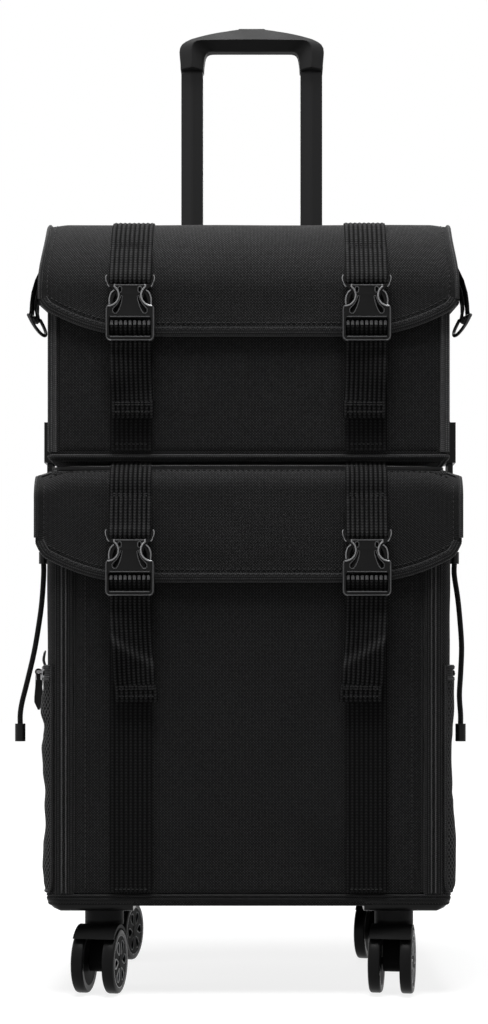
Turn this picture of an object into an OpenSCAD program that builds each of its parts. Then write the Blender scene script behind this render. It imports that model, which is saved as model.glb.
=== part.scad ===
// Soft-sided rolling makeup case in two tiers with a trolley handle and four swivel casters.
// Millimetres. The front is -Y, the right-hand side is +X and +Z is up.
// The origin lies on the floor under the middle of the case.

/* [Lower case] */
// Width of the lower case's body
case_w = 340; // [320:2:380]
// Depth of the lower case's body
case_d = 240; // [230:2:280]
// Height from the underside of the base board to the top of the lid
case_h = 372; // [354:2:404]
// Thickness of the padded walls
wall = 6; // [5:0.5:8]
// Radius of the upright corners
corner_r = 12; // [11:1:16]
// Thickness of the base board
base_t = 8; // [7:0.5:10]
// Width of the fixed strip between the door and each side
border_w = 23; // [20:1:30]

/* [Lid and flaps] */
// Distance by which the lid stands out past each side of the body
lid_overhang = 8; // [7:0.5:10]
// Thickness of the lid board
lid_t = 8; // [6:0.5:10]
// Height of the lid's side skirts below the board
skirt_h = 60; // [52:1:66]
// Height of the front flap of the lower case
lower_flap_h = 100; // [94:1:106]
// Height of the front flap of the upper bag
upper_flap_h = 100; // [94:1:106]
// Rise of a flap's lower edge towards its corners
flap_rise = 31; // [20:1:36]
// Thickness of the flaps
flap_t = 4; // [3:0.5:4.5]
// Radius with which the upper flap folds over the bag's top front edge
fold_r = 38; // [24:1:44]

/* [Upper bag] */
// Height of the upper bag
bag_h = 206; // [194:2:230]
// Distance by which the bag is narrower than the lower case on each side
bag_inset = 2; // [1:0.5:3]
// Thickness of the bag's padded walls
bag_wall = 6; // [5:0.5:8]

/* [Webbing and buckles] */
// Width of the webbing
web_w = 35; // [30:1:38]
// Thickness of the webbing
web_t = 2; // [1.6:0.1:2.2]
// Distance between the middles of the two front straps
strap_spacing = 197; // [180:1:220]
// Loose length of the lower straps below their buckles
lower_tail = 86; // [60:1:110]
// Loose length of the upper straps below their buckles
upper_tail = 61; // [40:1:70]

/* [Handle] */
// Distance between the middles of the two tubes
tube_spacing = 115; // [105:1:130]
// Width of a tube
tube_w = 21; // [19:0.5:23]
// Depth of a tube
tube_d = 15; // [13:0.5:17]
// Height of the grip's legs above the lid when the handle is out
handle_out = 405; // [380:5:420]
// Depth of the grip
grip_d = 32; // [28:1:34]

/* [Casters] */
// Diameter of the wheels
wheel_d = 54; // [48:1:60]
// Width of each wheel
wheel_w = 10.5; // [9:0.5:13]
// Space between the twin wheels
wheel_gap = 16; // [14:0.5:18]
// Distance of the axle behind the swivel axis
trail = 16; // [12:0.5:18]
// Distance of the swivel axes from the sides of the case
caster_inset_x = 46; // [42:1:56]
// Distance of the swivel axes from the front and back of the case
caster_inset_y = 32; // [30:1:44]
// Swivel angle of the front casters
swivel_front = 171; // [-180:1:180]
// Swivel angle of the rear casters
swivel_rear = 166; // [-180:1:180]

/* [Side pockets and cords] */
// Width of the mesh side pockets
pocket_w = 204; // [180:2:206]
// Height of the mesh side pockets
pocket_h = 178; // [150:2:190]
// Bulge of the side pockets
pocket_bulge = 7; // [5:0.5:9]
// Diameter of the hanging cords
cord_d = 4.6; // [4:0.1:5.2]

/* [Hidden] */
$fn = 48;

// Clearances
fit = 0.3;
run_play = 0.05;
tube_play = 0.3;
door_gap = 0.6;
flap_gap = 1.6;
seat_gap = 0.4;
handle_room = 7;
crown_gap = 0.4;

// Colours
cloth = [0.10, 0.10, 0.11];
cloth_light = [0.16, 0.16, 0.17];
webbing = [0.06, 0.06, 0.07];
plastic = [0.04, 0.04, 0.05];
tyre = [0.08, 0.08, 0.08];
metal = [0.55, 0.56, 0.58];
tube_metal = [0.22, 0.22, 0.23];

// Levels of the lower case
body_shift = 4;
half_w = case_w / 2;
front_y = body_shift - case_d / 2;
back_y = body_shift + case_d / 2;
neck_h = 17;
guard_drop = 5;
guard_out = 3.6;
guard_len = 77;
guard_round = 8;
guard_z = wheel_d + neck_h;
base_z = guard_z + guard_drop;
floor_z = base_z + base_t;
top_z = base_z + case_h;
lid_z = top_z - lid_t;
welt_t = 3;
welt_h = base_t;
inner_r = max(corner_r - wall, 2);

// Front door and its zips
door_half = half_w - border_w - door_gap;
door_z0 = floor_z + 2;
door_z1 = lid_z - 1;
zip_t = 1.2;
zip_w = 13;

// Lid
skirt_t = 4;
lid_half = half_w + lid_overhang;
skirt_z = lid_z - skirt_h;

// Flap faces
flap_step = flap_gap + flap_t;
lower_face_y = front_y - flap_step;
lower_edge_z = top_z - lower_flap_h;
lower_buckle_z = lower_edge_z + 35;
flap_flat = 0.54;
flap_steps = 14;
fold_steps = 10;
strap_steps = fold_steps - 1;

// Handle
guide_wall = 1.5;
tube_wall = 1.5;
guide_w = tube_w + 2 * (tube_play + guide_wall);
guide_d = tube_d + 2 * (tube_play + guide_wall);
tube_x = tube_spacing / 2;
tube_y = back_y - wall - fit - guide_d / 2;
tube_stay = 40;
tube_z0 = lid_z - tube_stay;
leg_z = top_z + handle_out;
leg_h = 11;
tube_z1 = leg_z + leg_h - fit;
grip_lip = 1.6;
grip_half = tube_x + tube_w / 2 + grip_lip;
grip_rise = 13;
grip_h = 37;
grip_top = leg_z + grip_h;
arch_r = (grip_half * grip_half + grip_rise * grip_rise) / (2 * grip_rise);
grip_in = tube_x - tube_w / 2 - grip_lip;
grip_foot_h = 14;
grip_under = leg_z + grip_foot_h;
grip_open_h = 60;
grip_open_r = 8;
void_z0 = leg_z + leg_h;
void_h = 11.4;
void_z1 = void_z0 + void_h;
void_d = 10;
yoke_h = 5;
yoke_z1 = void_z1 - fit;
button_w = 26;
button_d = 12;
button_up = 2.4;
button_travel = 4;
bezel_t = 4;
bezel_edge = 4;

// Upper bag
bag_setback = 4;
bag_half = half_w - bag_inset;
bag_front_y = front_y + bag_setback;
bag_back_y = tube_y - grip_d / 2 - handle_room;
bag_d = bag_back_y - bag_front_y;
bag_y = bag_front_y + bag_d / 2;
bag_z = top_z + seat_gap;
bag_base_t = 7;
bag_top_z = bag_z + bag_h;
flap_top_t = 6;
bag_rim_z = bag_top_z - flap_top_t - fit;
bag_r = corner_r;
bag_welt_t = 2;
upper_face_y = bag_front_y - flap_step;
upper_edge_z = bag_top_z - upper_flap_h;
buckle_rise = 41;
upper_buckle_z = upper_edge_z + buckle_rise;
fold_z = bag_top_z - fold_r;
rim_r = fold_r - flap_top_t;
return_in = bag_half + web_t + 1.6;
return_out = return_in + flap_t;
rake_y = 12;
rake_z = 14;

// Buckles: local x across, -y out of the flap's face, z up from the datum
rail = 2.2;
buckle_half = web_w / 2 + 0.4 + rail;
bar_r = 1.6;
bar_z = 2;
ring_r = bar_r + fit + web_t;
buckle_c = web_t + ring_r - 0.2;
plug_t = 5;
socket_wall = 2.5;
socket_t = plug_t + 2 * fit + 2 * socket_wall;
mouth_half = web_w / 2 - 1;
shoulder_half = buckle_half - 1;
neck_z = -10.5;
shoulder_z = -20.5;
ladder_z = -29;
foot_z = -48;
foot_h = 2.6;
ladder_bar_z = -35.6;
lower_strap_z = -60;
stitch_z = 36;
rail_back = buckle_c - 0.4;

// Side rings and tie-down buckles
ring_wire = 3;
ring_half = 13;
ring_leg = 5;
ring_twist = 16;
ring_tilt = 28;
ring_out = 13;
ring_up = 28;
ring_x = return_out + ring_out;
ring_y = bag_y - 36;
ring_z = upper_edge_z + ring_up;
tab_w = 22;
tab_sewn = 12;
tab_belly = [[-3, 36], [1, 16]];
side_y = bag_y;
tie_out = 10.5;
tie_x = bag_half + tie_out;
tie_half = 14;
tie_t = 9;
tie_plug_t = 4.4;
tie_mouth = 10;
tie_z = 9;
tie_h = 36;
tie_prong_h = 20;

// Casters
stem_r = 4.95;
sleeve_r = 12;
crown_r = 16.5;
axle_r = 3;
stem_x = half_w - caster_inset_x;
stem_y = case_d / 2 - caster_inset_y;
axle_z = wheel_d / 2;
crown_z = wheel_d + 2.4;
leg_w = wheel_gap - 1.4;
hood_w = wheel_gap + 2 * wheel_w - 2;
hood_gap = 1.2;
hood_t = 2.8;
hood_lip = axle_z + wheel_d * 0.4;
petals = 6;

// Side pockets, sliders and pulls
pocket_edge = 4;
pocket_taper = 40;
pocket_gusset = 18;
pocket_z0 = base_z + welt_h + 2;
pocket_z1 = pocket_z0 + pocket_h;
pocket_zip_h = 12;
pocket_zip_t = 6;
slider_in = half_w + pocket_zip_t + fit;
slider_t = 4;
slider_z = pocket_z1 + 2 + pocket_zip_h / 2;
pull_x = slider_in + slider_t + 3.4;
pull_inset = 40;
pull_run = pocket_w / 2 - pull_inset;
left_slider_y = body_shift - pull_run;
right_slider_y = body_shift + pull_run;
pull_bar_r = 1.2;
pull_ring_r = 3;
pull_w = 7.4;
pull_t = 4;
pull_neck = 7;
pull_len = 33;

// Hanging cords, as points measured from the end of the ferrule: out, along, up
ferrule_out = 5;
ferrule_r = 4;
ferrule_h = 10;
ferrule_z = skirt_z - 16;
cord_y = front_y + 24;
cord_points_left = [
  [0, 0, 0], [0, 0, -10], [1.5, 0, -32], [4, -1, -52], [8, -2, -76],
  [14, -3, -102], [18, -3, -118], [19.5, -3, -128], [19.5, -3, -136]
];
cord_points_right = [
  [0, 0, 0], [0, 0, -10], [3, 0, -30], [5, -1, -52], [6, -2, -72],
  [5, -3, -94], [4, -3, -112], [5, -3, -128], [5, -3, -136]
];
cord_sides = 8;
cap_r = 4.4;
cap_h = 15;

function unit(v) = v / norm(v);

// Outline of a strip of thickness t that follows a path in a plane
function heading(p, i) =
  i == 0 ? unit(p[1] - p[0]) :
  i == len(p) - 1 ? unit(p[i] - p[i - 1]) :
  unit(unit(p[i] - p[i - 1]) + unit(p[i + 1] - p[i]));
function reach(p, i) =
  i == 0 || i == len(p) - 1 ? 1 : 1 / max(0.5, heading(p, i) * unit(p[i] - p[i - 1]));
function edge_point(p, i, t) =
  p[i] + [-heading(p, i)[1], heading(p, i)[0]] * t / 2 * reach(p, i);
function strip(p, t) = concat(
  [for (i = [0 : len(p) - 1]) edge_point(p, i, t)],
  [for (i = [len(p) - 1 : -1 : 0]) edge_point(p, i, -t)]
);

// Lower edge of a flap: level in the middle, rising towards the corners
function flap_edge(x, half, low) =
  low + flap_rise * pow(max(0, (abs(x) / half - flap_flat) / (1 - flap_flat)), 2);
function flap_outline(half, low, high) = concat(
  [[-half, high]],
  [for (i = [-flap_steps : flap_steps]) [half * i / flap_steps, flap_edge(half * i / flap_steps, half, low)]],
  [[half, high]]
);

// Points round a folded top front edge, from its upright face to its top
function fold_part(y0, z1, r, off, last) =
  [for (i = [0 : last]) let (a = 180 - 90 * i / fold_steps)
    [y0 + r + (r + off) * cos(a), z1 - r + (r + off) * sin(a)]];
function fold_arc(y0, z1, r, off) = fold_part(y0, z1, r, off, fold_steps);
// Side profile of a block with a folded top front edge
function folded(y0, y1, z0, z1, r) = concat([[y1, z0], [y0, z0]], fold_arc(y0, z1, r, 0), [[y1, z1]]);
// Side profile of all that lies outside a folded edge
function fold_waste(y0, z1, r) = concat(
  [[y0 - 1, z1 + 1], [y0 - 1, z1 - r]], fold_arc(y0, z1, r, 0), [[y0 + r, z1 + 1]]
);
function reversed(p) = [for (i = [len(p) - 1 : -1 : 0]) p[i]];

// A round tube along a run of points
function ring_at(p, i, r) =
  let (t = i == 0 ? unit(p[1] - p[0]) :
           i == len(p) - 1 ? unit(p[i] - p[i - 1]) : unit(p[i + 1] - p[i - 1]),
       s = unit(cross(t, [0, 1, 0])),
       u = cross(s, t))
  [for (k = [0 : cord_sides - 1]) p[i] + r * (cos(k * 360 / cord_sides) * s + sin(k * 360 / cord_sides) * u)];
function tube_faces(n) = concat(
  [[for (k = [0 : cord_sides - 1]) k]],
  [for (i = [0 : n - 2]) for (k = [0 : cord_sides - 1])
    [i * cord_sides + k, (i + 1) * cord_sides + k,
     (i + 1) * cord_sides + (k + 1) % cord_sides, i * cord_sides + (k + 1) % cord_sides]],
  [[for (k = [cord_sides - 1 : -1 : 0]) (n - 1) * cord_sides + k]]
);
function smooth(p, i, f) =
  let (a = p[max(i - 1, 0)], b = p[i], c = p[i + 1], d = p[min(i + 2, len(p) - 1)])
  0.5 * (2 * b + (c - a) * f + (2 * a - 5 * b + 4 * c - d) * f * f + (3 * b - a - 3 * c + d) * f * f * f);
function finer(p) = concat(
  [for (i = [0 : len(p) - 2]) for (f = [0, 0.5]) smooth(p, i, f)],
  [p[len(p) - 1]]
);
function cord_path(points, side) =
  [for (q = points) [side * (half_w + ferrule_out + q[0]), cord_y + q[1], ferrule_z + q[2]]];

module rounded(w, d, r) {
  square([w - 2 * r, d], center = true);
  square([w, d - 2 * r], center = true);
  for (sx = [-1, 1])
    for (sy = [-1, 1])
      translate([sx * (w / 2 - r), sy * (d / 2 - r)])
        circle(r);
}

module slab(x0, x1, y0, y1, z0, z1) {
  translate([x0, y0, z0])
    cube([x1 - x0, y1 - y0, z1 - z0]);
}

module both_sides() {
  children();
  mirror([1, 0, 0])
    children();
}

// Draws a flat shape standing upright and thickens it towards the front
module outward(t) {
  rotate([90, 0, 0])
    linear_extrude(t)
      children();
}

// Draws a side profile (y, z) and thickens it across the case
module across(w) {
  rotate([90, 0, 90])
    linear_extrude(w, center = true)
      children();
}

module at_straps(face_y, z) {
  for (sx = [-1, 1])
    translate([sx * strap_spacing / 2, face_y, z])
      children();
}

// Lower case

module body_plan() {
  rounded(case_w, case_d, corner_r);
}

module wall_plan() {
  difference() {
    body_plan();
    rounded(case_w - 2 * wall, case_d - 2 * wall, inner_r);
  }
}

module at_casters() {
  for (sx = [-1, 1])
    for (sy = [-1, 1])
      translate([sx * stem_x, body_shift + sy * stem_y, 0])
        children();
}

module base_board() {
  color(cloth)
    difference() {
      union() {
        translate([0, body_shift, base_z])
          linear_extrude(base_t)
            rounded(case_w - 2 * (wall + fit), case_d - 2 * (wall + fit), inner_r);
        slab(-door_half, door_half, front_y, front_y + 2 * wall, base_z, floor_z);
      }
      at_casters()
        translate([0, 0, base_z - 1])
          cylinder(r = sleeve_r + fit, h = base_t + 2);
    }
}

module corner_guards() {
  color(plastic)
    difference() {
      translate([0, body_shift, guard_z])
        intersection() {
          hull() {
            linear_extrude(0.2)
              rounded(case_w + 2 * (guard_out - guard_round), case_d + 2 * (guard_out - guard_round), corner_r);
            translate([0, 0, guard_drop / 2])
              linear_extrude(guard_drop / 2)
                rounded(case_w + 2 * guard_out, case_d + 2 * guard_out, corner_r + guard_out);
          }
          linear_extrude(guard_drop)
            for (sx = [-1, 1])
              for (sy = [-1, 1])
                translate([sx * (half_w + guard_out - guard_len / 2),
                           sy * (case_d / 2 + guard_out - guard_len / 2)])
                  square(guard_len, center = true);
        }
      at_casters()
        translate([0, 0, guard_z - 1])
          cylinder(r = sleeve_r + fit, h = guard_drop + 2);
    }
}

module caster_sockets() {
  color(metal)
    at_casters()
      difference() {
        translate([0, 0, guard_z])
          cylinder(r = sleeve_r, h = floor_z - guard_z);
        translate([0, 0, guard_z - 1])
          cylinder(r = stem_r + run_play, h = floor_z - guard_z - 1);
      }
}

module base_welt() {
  color(webbing)
    translate([0, body_shift, base_z])
      linear_extrude(welt_h)
        difference() {
          rounded(case_w + 2 * welt_t, case_d + 2 * welt_t, corner_r + welt_t);
          rounded(case_w + 0.2, case_d + 0.2, corner_r + 0.1);
        }
}

module back_panel() {
  color(cloth)
    translate([0, body_shift, base_z])
      linear_extrude(lid_z - base_z)
        intersection() {
          wall_plan();
          translate([-half_w, case_d / 2 - corner_r])
            square([case_w, corner_r]);
        }
}

module side_panels() {
  color(cloth)
    both_sides()
      slab(half_w - wall, half_w, front_y + corner_r, back_y - corner_r, base_z, lid_z);
}

module front_borders() {
  color(cloth)
    translate([0, body_shift, base_z])
      linear_extrude(lid_z - base_z)
        intersection() {
          wall_plan();
          for (sx = [-1, 1])
            translate([sx * (half_w - border_w / 2), -case_d / 2 + corner_r / 2])
              square([border_w, corner_r], center = true);
        }
}

module door_zips() {
  color(webbing)
    both_sides()
      slab(half_w - border_w, half_w - border_w + zip_w, front_y - zip_t, front_y, door_z0, lid_z - 8);
}

module lid_top() {
  color(cloth)
    difference() {
      translate([0, (lower_face_y + flap_t + fit + back_y) / 2, lid_z])
        linear_extrude(lid_t)
          rounded(2 * lid_half, back_y - lower_face_y - flap_t - fit, 6);
      for (sx = [-1, 1])
        translate([sx * tube_x, tube_y, lid_z - 1])
          linear_extrude(lid_t + 2)
            tube_plan(tube_w + 4 * tube_play, tube_d + 4 * tube_play);
    }
}

module lid_skirts() {
  color(cloth)
    both_sides()
      slab(lid_half - skirt_t, lid_half, front_y, back_y - corner_r, skirt_z, lid_z);
}

module tube_plan(w, d) {
  polygon([
    [-w / 2 + 2, d / 2], [-w / 2, d / 2 - 2], [-w / 2, -d / 2 + 4], [-1, -d / 2],
    [1, -d / 2], [w / 2, -d / 2 + 4], [w / 2, d / 2 - 2], [w / 2 - 2, d / 2]
  ]);
}

module guide_tubes() {
  color(tube_metal)
    for (sx = [-1, 1])
      translate([sx * tube_x, tube_y, floor_z])
        linear_extrude(lid_z - floor_z)
          difference() {
            rounded(guide_w, guide_d, 2);
            tube_plan(tube_w + 2 * tube_play, tube_d + 2 * tube_play);
          }
}

module handle_bezels() {
  color(plastic)
    for (sx = [-1, 1])
      translate([sx * tube_x, tube_y, top_z])
        linear_extrude(bezel_t)
          difference() {
            rounded(guide_w + 2 * bezel_edge, guide_d + 2 * bezel_edge, 4);
            tube_plan(tube_w + 2 * tube_play, tube_d + 2 * tube_play);
          }
}

module mesh_pockets() {
  color(cloth_light)
    both_sides()
      translate([half_w, body_shift, (pocket_z0 + pocket_z1) / 2])
        rotate([90, 0, 90])
          hull() {
            linear_extrude(1)
              square([pocket_w, pocket_h], center = true);
            linear_extrude(pocket_bulge)
              square([pocket_w - pocket_gusset, pocket_h - pocket_taper], center = true);
          }
}

module pocket_zips() {
  color(webbing)
    both_sides()
      slab(half_w, half_w + pocket_zip_t, body_shift - pocket_w / 2, body_shift + pocket_w / 2,
           pocket_z1, pocket_z1 + 2 + pocket_zip_h);
}

module cord_ferrules() {
  color(plastic)
    both_sides() {
      translate([half_w + ferrule_out, cord_y, ferrule_z])
        cylinder(r = ferrule_r, h = ferrule_h);
      slab(half_w, half_w + ferrule_out, cord_y - 3, cord_y + 3, ferrule_z + 1, ferrule_z + ferrule_h - 1);
    }
}

module cord(points, side) {
  path = finer(cord_path(points, side));
  polyhedron(
    points = [for (i = [0 : len(path) - 1]) for (q = ring_at(path, i, cord_d / 2)) q],
    faces = tube_faces(len(path))
  );
}

module drawcord_left() {
  color(webbing)
    cord(cord_points_left, -1);
}

module drawcord_right() {
  color(webbing)
    cord(cord_points_right, 1);
}

module cord_cap(points, side) {
  path = cord_path(points, side);
  translate(path[len(path) - 1] - [0, 0, cap_h])
    cylinder(r = cap_r, h = cap_h);
}

module cord_end_left() {
  color(plastic)
    cord_cap(cord_points_left, -1);
}

module cord_end_right() {
  color(plastic)
    cord_cap(cord_points_right, 1);
}

module tie_plugs() {
  color(plastic)
    both_sides() {
      slab(tie_x - tie_plug_t / 2, tie_x + tie_plug_t / 2, side_y - tie_half + 2, side_y + tie_half - 2,
           top_z, top_z + tie_z);
      for (sy = [-1, 1])
        slab(tie_x - tie_plug_t / 2, tie_x + tie_plug_t / 2, side_y + sy * 6.6 - 2.6, side_y + sy * 6.6 + 2.6,
             top_z + tie_z, top_z + tie_z + tie_prong_h);
    }
}

// Front door

module door_panel() {
  color(cloth)
    slab(-door_half, door_half, front_y, front_y + wall, door_z0, door_z1);
}

module door_straps() {
  color(webbing)
    at_straps(front_y, 0)
      slab(-web_w / 2, web_w / 2, -web_t, 0, door_z0 + 4, lower_buckle_z + lower_strap_z);
}

module lower_sockets() {
  color(plastic)
    at_straps(lower_face_y, lower_buckle_z)
      socket();
}

module lower_tails() {
  color(webbing)
    at_straps(lower_face_y, lower_buckle_z)
      strap_tail(lower_tail);
}

// Lower flap

module lower_flap_panel() {
  color(cloth)
    translate([0, lower_face_y + flap_t, 0])
      outward(flap_t)
        polygon(flap_outline(lid_half, lower_edge_z, top_z));
}

module lower_flap_straps() {
  color(webbing)
    at_straps(lower_face_y, lower_buckle_z)
      flap_strap(top_z - lower_buckle_z - 1, stitch_z);
}

module lower_plugs() {
  color(plastic)
    at_straps(lower_face_y, lower_buckle_z)
      plug();
}

// Buckles and webbing, drawn at a strap's datum

// Sewn strap that folds round the plug's bar and is stitched back onto itself up to a seam
module flap_strap(top, seam) {
  across(web_w)
    difference() {
      union() {
        translate([-web_t, bar_z - ring_r])
          square([web_t, top - bar_z + ring_r]);
        translate([-2 * web_t, bar_z])
          square([web_t + 0.1, seam - bar_z]);
        translate([-buckle_c, bar_z])
          circle(ring_r);
      }
      translate([-buckle_c, bar_z])
        circle(bar_r + fit);
    }
}

module plug() {
  translate([0, -buckle_c, bar_z])
    rotate([0, 90, 0])
      cylinder(r = bar_r, h = 2 * buckle_half - rail, center = true);
  translate([0, -buckle_c + plug_t / 2, 0])
    outward(plug_t) {
      for (sx = [-1, 1])
        translate([sx * (buckle_half - rail / 2), 1])
          square([rail, 10], center = true);
      polygon([
        [-buckle_half, -2.6], [-buckle_half, -4.6], [-mouth_half + 3, -7], [-mouth_half + 5, neck_z + 0.5],
        [mouth_half - 5, neck_z + 0.5], [mouth_half - 3, -7], [buckle_half, -4.6], [buckle_half, -2.6]
      ]);
      for (sx = [-1, 1])
        polygon([
          [sx * (mouth_half - 9), neck_z + 1], [sx * (mouth_half - 5), neck_z + 1],
          [sx * (mouth_half - 0.6), neck_z - 4], [sx * (mouth_half - 0.4), neck_z - 9],
          [sx * (mouth_half - 1.5), neck_z - 14], [sx * (mouth_half - 4.5), neck_z - 16],
          [sx * (mouth_half - 5), neck_z - 9]
        ]);
      translate([0, neck_z - 6])
        square([5, 14], center = true);
    }
}

module socket() {
  difference() {
    union() {
      translate([0, -buckle_c + socket_t / 2, 0])
        outward(socket_t)
          difference() {
            translate([-shoulder_half, ladder_z - 1])
              square([2 * shoulder_half, neck_z - ladder_z + 1]);
            for (sx = [-1, 1])
              translate([sx * (shoulder_half + 1.2), neck_z - 1.7])
                circle(8.5);
          }
      translate([0, -buckle_c + socket_t / 2, 0])
        outward(socket_t)
          difference() {
            translate([0, (ladder_z + foot_z) / 2])
              rounded(2 * buckle_half, ladder_z - foot_z, 3);
            translate([-buckle_half + rail, foot_z + foot_h])
              square([2 * (buckle_half - rail), ladder_z - foot_z - foot_h - 1.4]);
          }
      translate([0, -buckle_c, ladder_bar_z])
        rotate([0, 90, 0])
          cylinder(r = bar_r, h = 2 * buckle_half - rail, center = true);
    }
    slab(-mouth_half, mouth_half, -buckle_c - plug_t / 2 - fit, -buckle_c + plug_t / 2 + fit,
         ladder_z + 1.4, neck_z + 1);
    slab(-web_w / 2 - 0.4, web_w / 2 + 0.4, -rail_back, 20, foot_z - 1, foot_z + foot_h + 1);
  }
}

// Upper part of a sewn strap, which follows the flap over its fold
module fold_strap(rise, r) {
  near = concat([[0, rise - 1]], fold_part(0, rise + r, r, 0, strap_steps));
  far = concat([[-web_t, rise - 1]], fold_part(0, rise + r, r, web_t, strap_steps));
  across(web_w)
    polygon(concat(near, reversed(far)));
}

// Webbing that rises from the body, goes round the ladder bar and hangs down loose
module strap_tail(loose) {
  wrap_r = bar_r + fit + web_t / 2;
  hang_y = -rail_back + web_t / 2 + fit;
  rise = [
    [flap_step - web_t / 2, lower_strap_z], [flap_step - web_t / 2 - 0.6, lower_strap_z + 2],
    [web_t / 2 - 0.4, foot_z + 2], [-buckle_c + wrap_r + 0.4, ladder_bar_z - 4]
  ];
  wrap = [for (a = [0 : 30 : 180]) [-buckle_c + wrap_r * cos(a), ladder_bar_z + wrap_r * sin(a)]];
  fall = [
    [-buckle_c - wrap_r + 1.2, ladder_bar_z - 4], [hang_y, foot_z + foot_h + 1.5],
    [hang_y, foot_z - 2], [hang_y + 1.2, foot_z - 14],
    [-0.8, foot_z - 28], [0, foot_z - loose]
  ];
  across(web_w)
    polygon(strip(concat(rise, wrap, fall), web_t));
}

// Upper bag

module bag_plan() {
  difference() {
    rounded(2 * bag_half, bag_d, bag_r);
    rounded(2 * (bag_half - bag_wall), bag_d - 2 * bag_wall, max(bag_r - bag_wall, 2));
  }
}

module bag_shell(y0, y1) {
  translate([0, bag_y, bag_z])
    linear_extrude(bag_rim_z - bag_z)
      intersection() {
        bag_plan();
        translate([-bag_half, y0])
          square([2 * bag_half, y1 - y0]);
      }
}

// Cuts a wall of the bag to the flap's fold
module under_fold() {
  difference() {
    children();
    across(4 * bag_half)
      polygon(fold_waste(bag_front_y, bag_rim_z, rim_r));
  }
}

module bag_base() {
  color(cloth)
    translate([0, bag_y, bag_z])
      linear_extrude(bag_base_t)
        rounded(2 * (bag_half - bag_wall - fit), bag_d - 2 * (bag_wall + fit), max(bag_r - bag_wall, 2));
}

module bag_front() {
  color(cloth)
    under_fold()
      bag_shell(-bag_d / 2, -bag_d / 2 + bag_r);
}

module bag_back() {
  color(cloth)
    bag_shell(bag_d / 2 - bag_r, bag_d / 2);
}

module bag_sides() {
  color(cloth)
    under_fold()
      both_sides()
        slab(bag_half - bag_wall, bag_half, bag_front_y + bag_r, bag_back_y - bag_r, bag_z, bag_rim_z);
}

module bag_welt() {
  color(webbing)
    translate([0, bag_y, bag_z])
      linear_extrude(8)
        difference() {
          rounded(2 * (bag_half + bag_welt_t), bag_d + 2 * bag_welt_t, bag_r + bag_welt_t);
          rounded(2 * bag_half + 0.2, bag_d + 0.2, bag_r + 0.1);
        }
}

module bag_straps() {
  color(webbing)
    at_straps(bag_front_y, 0)
      slab(-web_w / 2, web_w / 2, -web_t, 0, bag_z + 9, upper_buckle_z + lower_strap_z);
}

module upper_sockets() {
  color(plastic)
    at_straps(upper_face_y, upper_buckle_z)
      socket();
}

module upper_tails() {
  color(webbing)
    at_straps(upper_face_y, upper_buckle_z)
      strap_tail(upper_tail);
}

// Webbing sewn to the side of the upper flap: it bows out and ends in an eye round the ring's bar
module ring_tabs() {
  eye_r = ring_wire / 2 + fit + web_t;
  sewn_x = return_out + web_t / 2;
  sewn_z = bag_top_z - flap_top_t;
  path = concat(
    [[sewn_x, sewn_z], [sewn_x, sewn_z - tab_sewn]],
    [for (q = tab_belly) [ring_x + q[0], ring_z + q[1]]],
    [[ring_x, ring_z + eye_r - web_t / 2]]
  );
  color(webbing)
    both_sides()
      difference() {
        union() {
          translate([0, ring_y, 0])
            rotate([90, 0, 0])
              linear_extrude(tab_w, center = true)
                polygon(strip(path, web_t));
          translate([ring_x, ring_y, ring_z])
            rotate([90, 0, ring_twist])
              cylinder(r = eye_r, h = tab_w, center = true);
        }
        translate([ring_x, ring_y, ring_z])
          rotate([90, 0, ring_twist])
            cylinder(r = ring_wire / 2 + fit, h = 3 * tab_w, center = true);
      }
}

module tie_sockets() {
  color(plastic)
    both_sides()
      difference() {
        union() {
          slab(tie_x - tie_t / 2, tie_x + tie_t / 2, side_y - tie_half, side_y + tie_half,
               top_z + tie_z + 1, top_z + tie_z + 1 + tie_h);
          slab(bag_half, tie_x, side_y - tie_half + 3, side_y + tie_half - 3,
               top_z + tie_z + tie_h - 9, top_z + tie_z + tie_h - 1);
        }
        slab(tie_x - tie_plug_t / 2 - fit, tie_x + tie_plug_t / 2 + fit,
             side_y - tie_mouth, side_y + tie_mouth,
             top_z, top_z + tie_z + 23);
      }
}

module side_ring() {
  rotate([90, 0, 0])
    cylinder(r = ring_wire / 2, h = 2 * ring_half, center = true);
  for (sy = [-1, 1])
    translate([0, sy * ring_half, 0]) {
      sphere(r = ring_wire / 2);
      translate([0, 0, -ring_leg])
        cylinder(r = ring_wire / 2, h = ring_leg);
    }
  translate([0, 0, -ring_leg])
    intersection() {
      rotate([0, 90, 0])
        rotate_extrude()
          translate([ring_half, 0])
            circle(ring_wire / 2);
      translate([-ring_wire, -2 * ring_half, -2 * ring_half])
        cube([2 * ring_wire, 4 * ring_half, 2 * ring_half]);
    }
}

module ring_right() {
  color(plastic)
    translate([ring_x, ring_y, ring_z])
      rotate([0, ring_tilt, ring_twist])
        side_ring();
}

module ring_left() {
  color(plastic)
    translate([-ring_x, ring_y, ring_z])
      rotate([0, -ring_tilt, -ring_twist])
        side_ring();
}

// Upper flap

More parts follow.
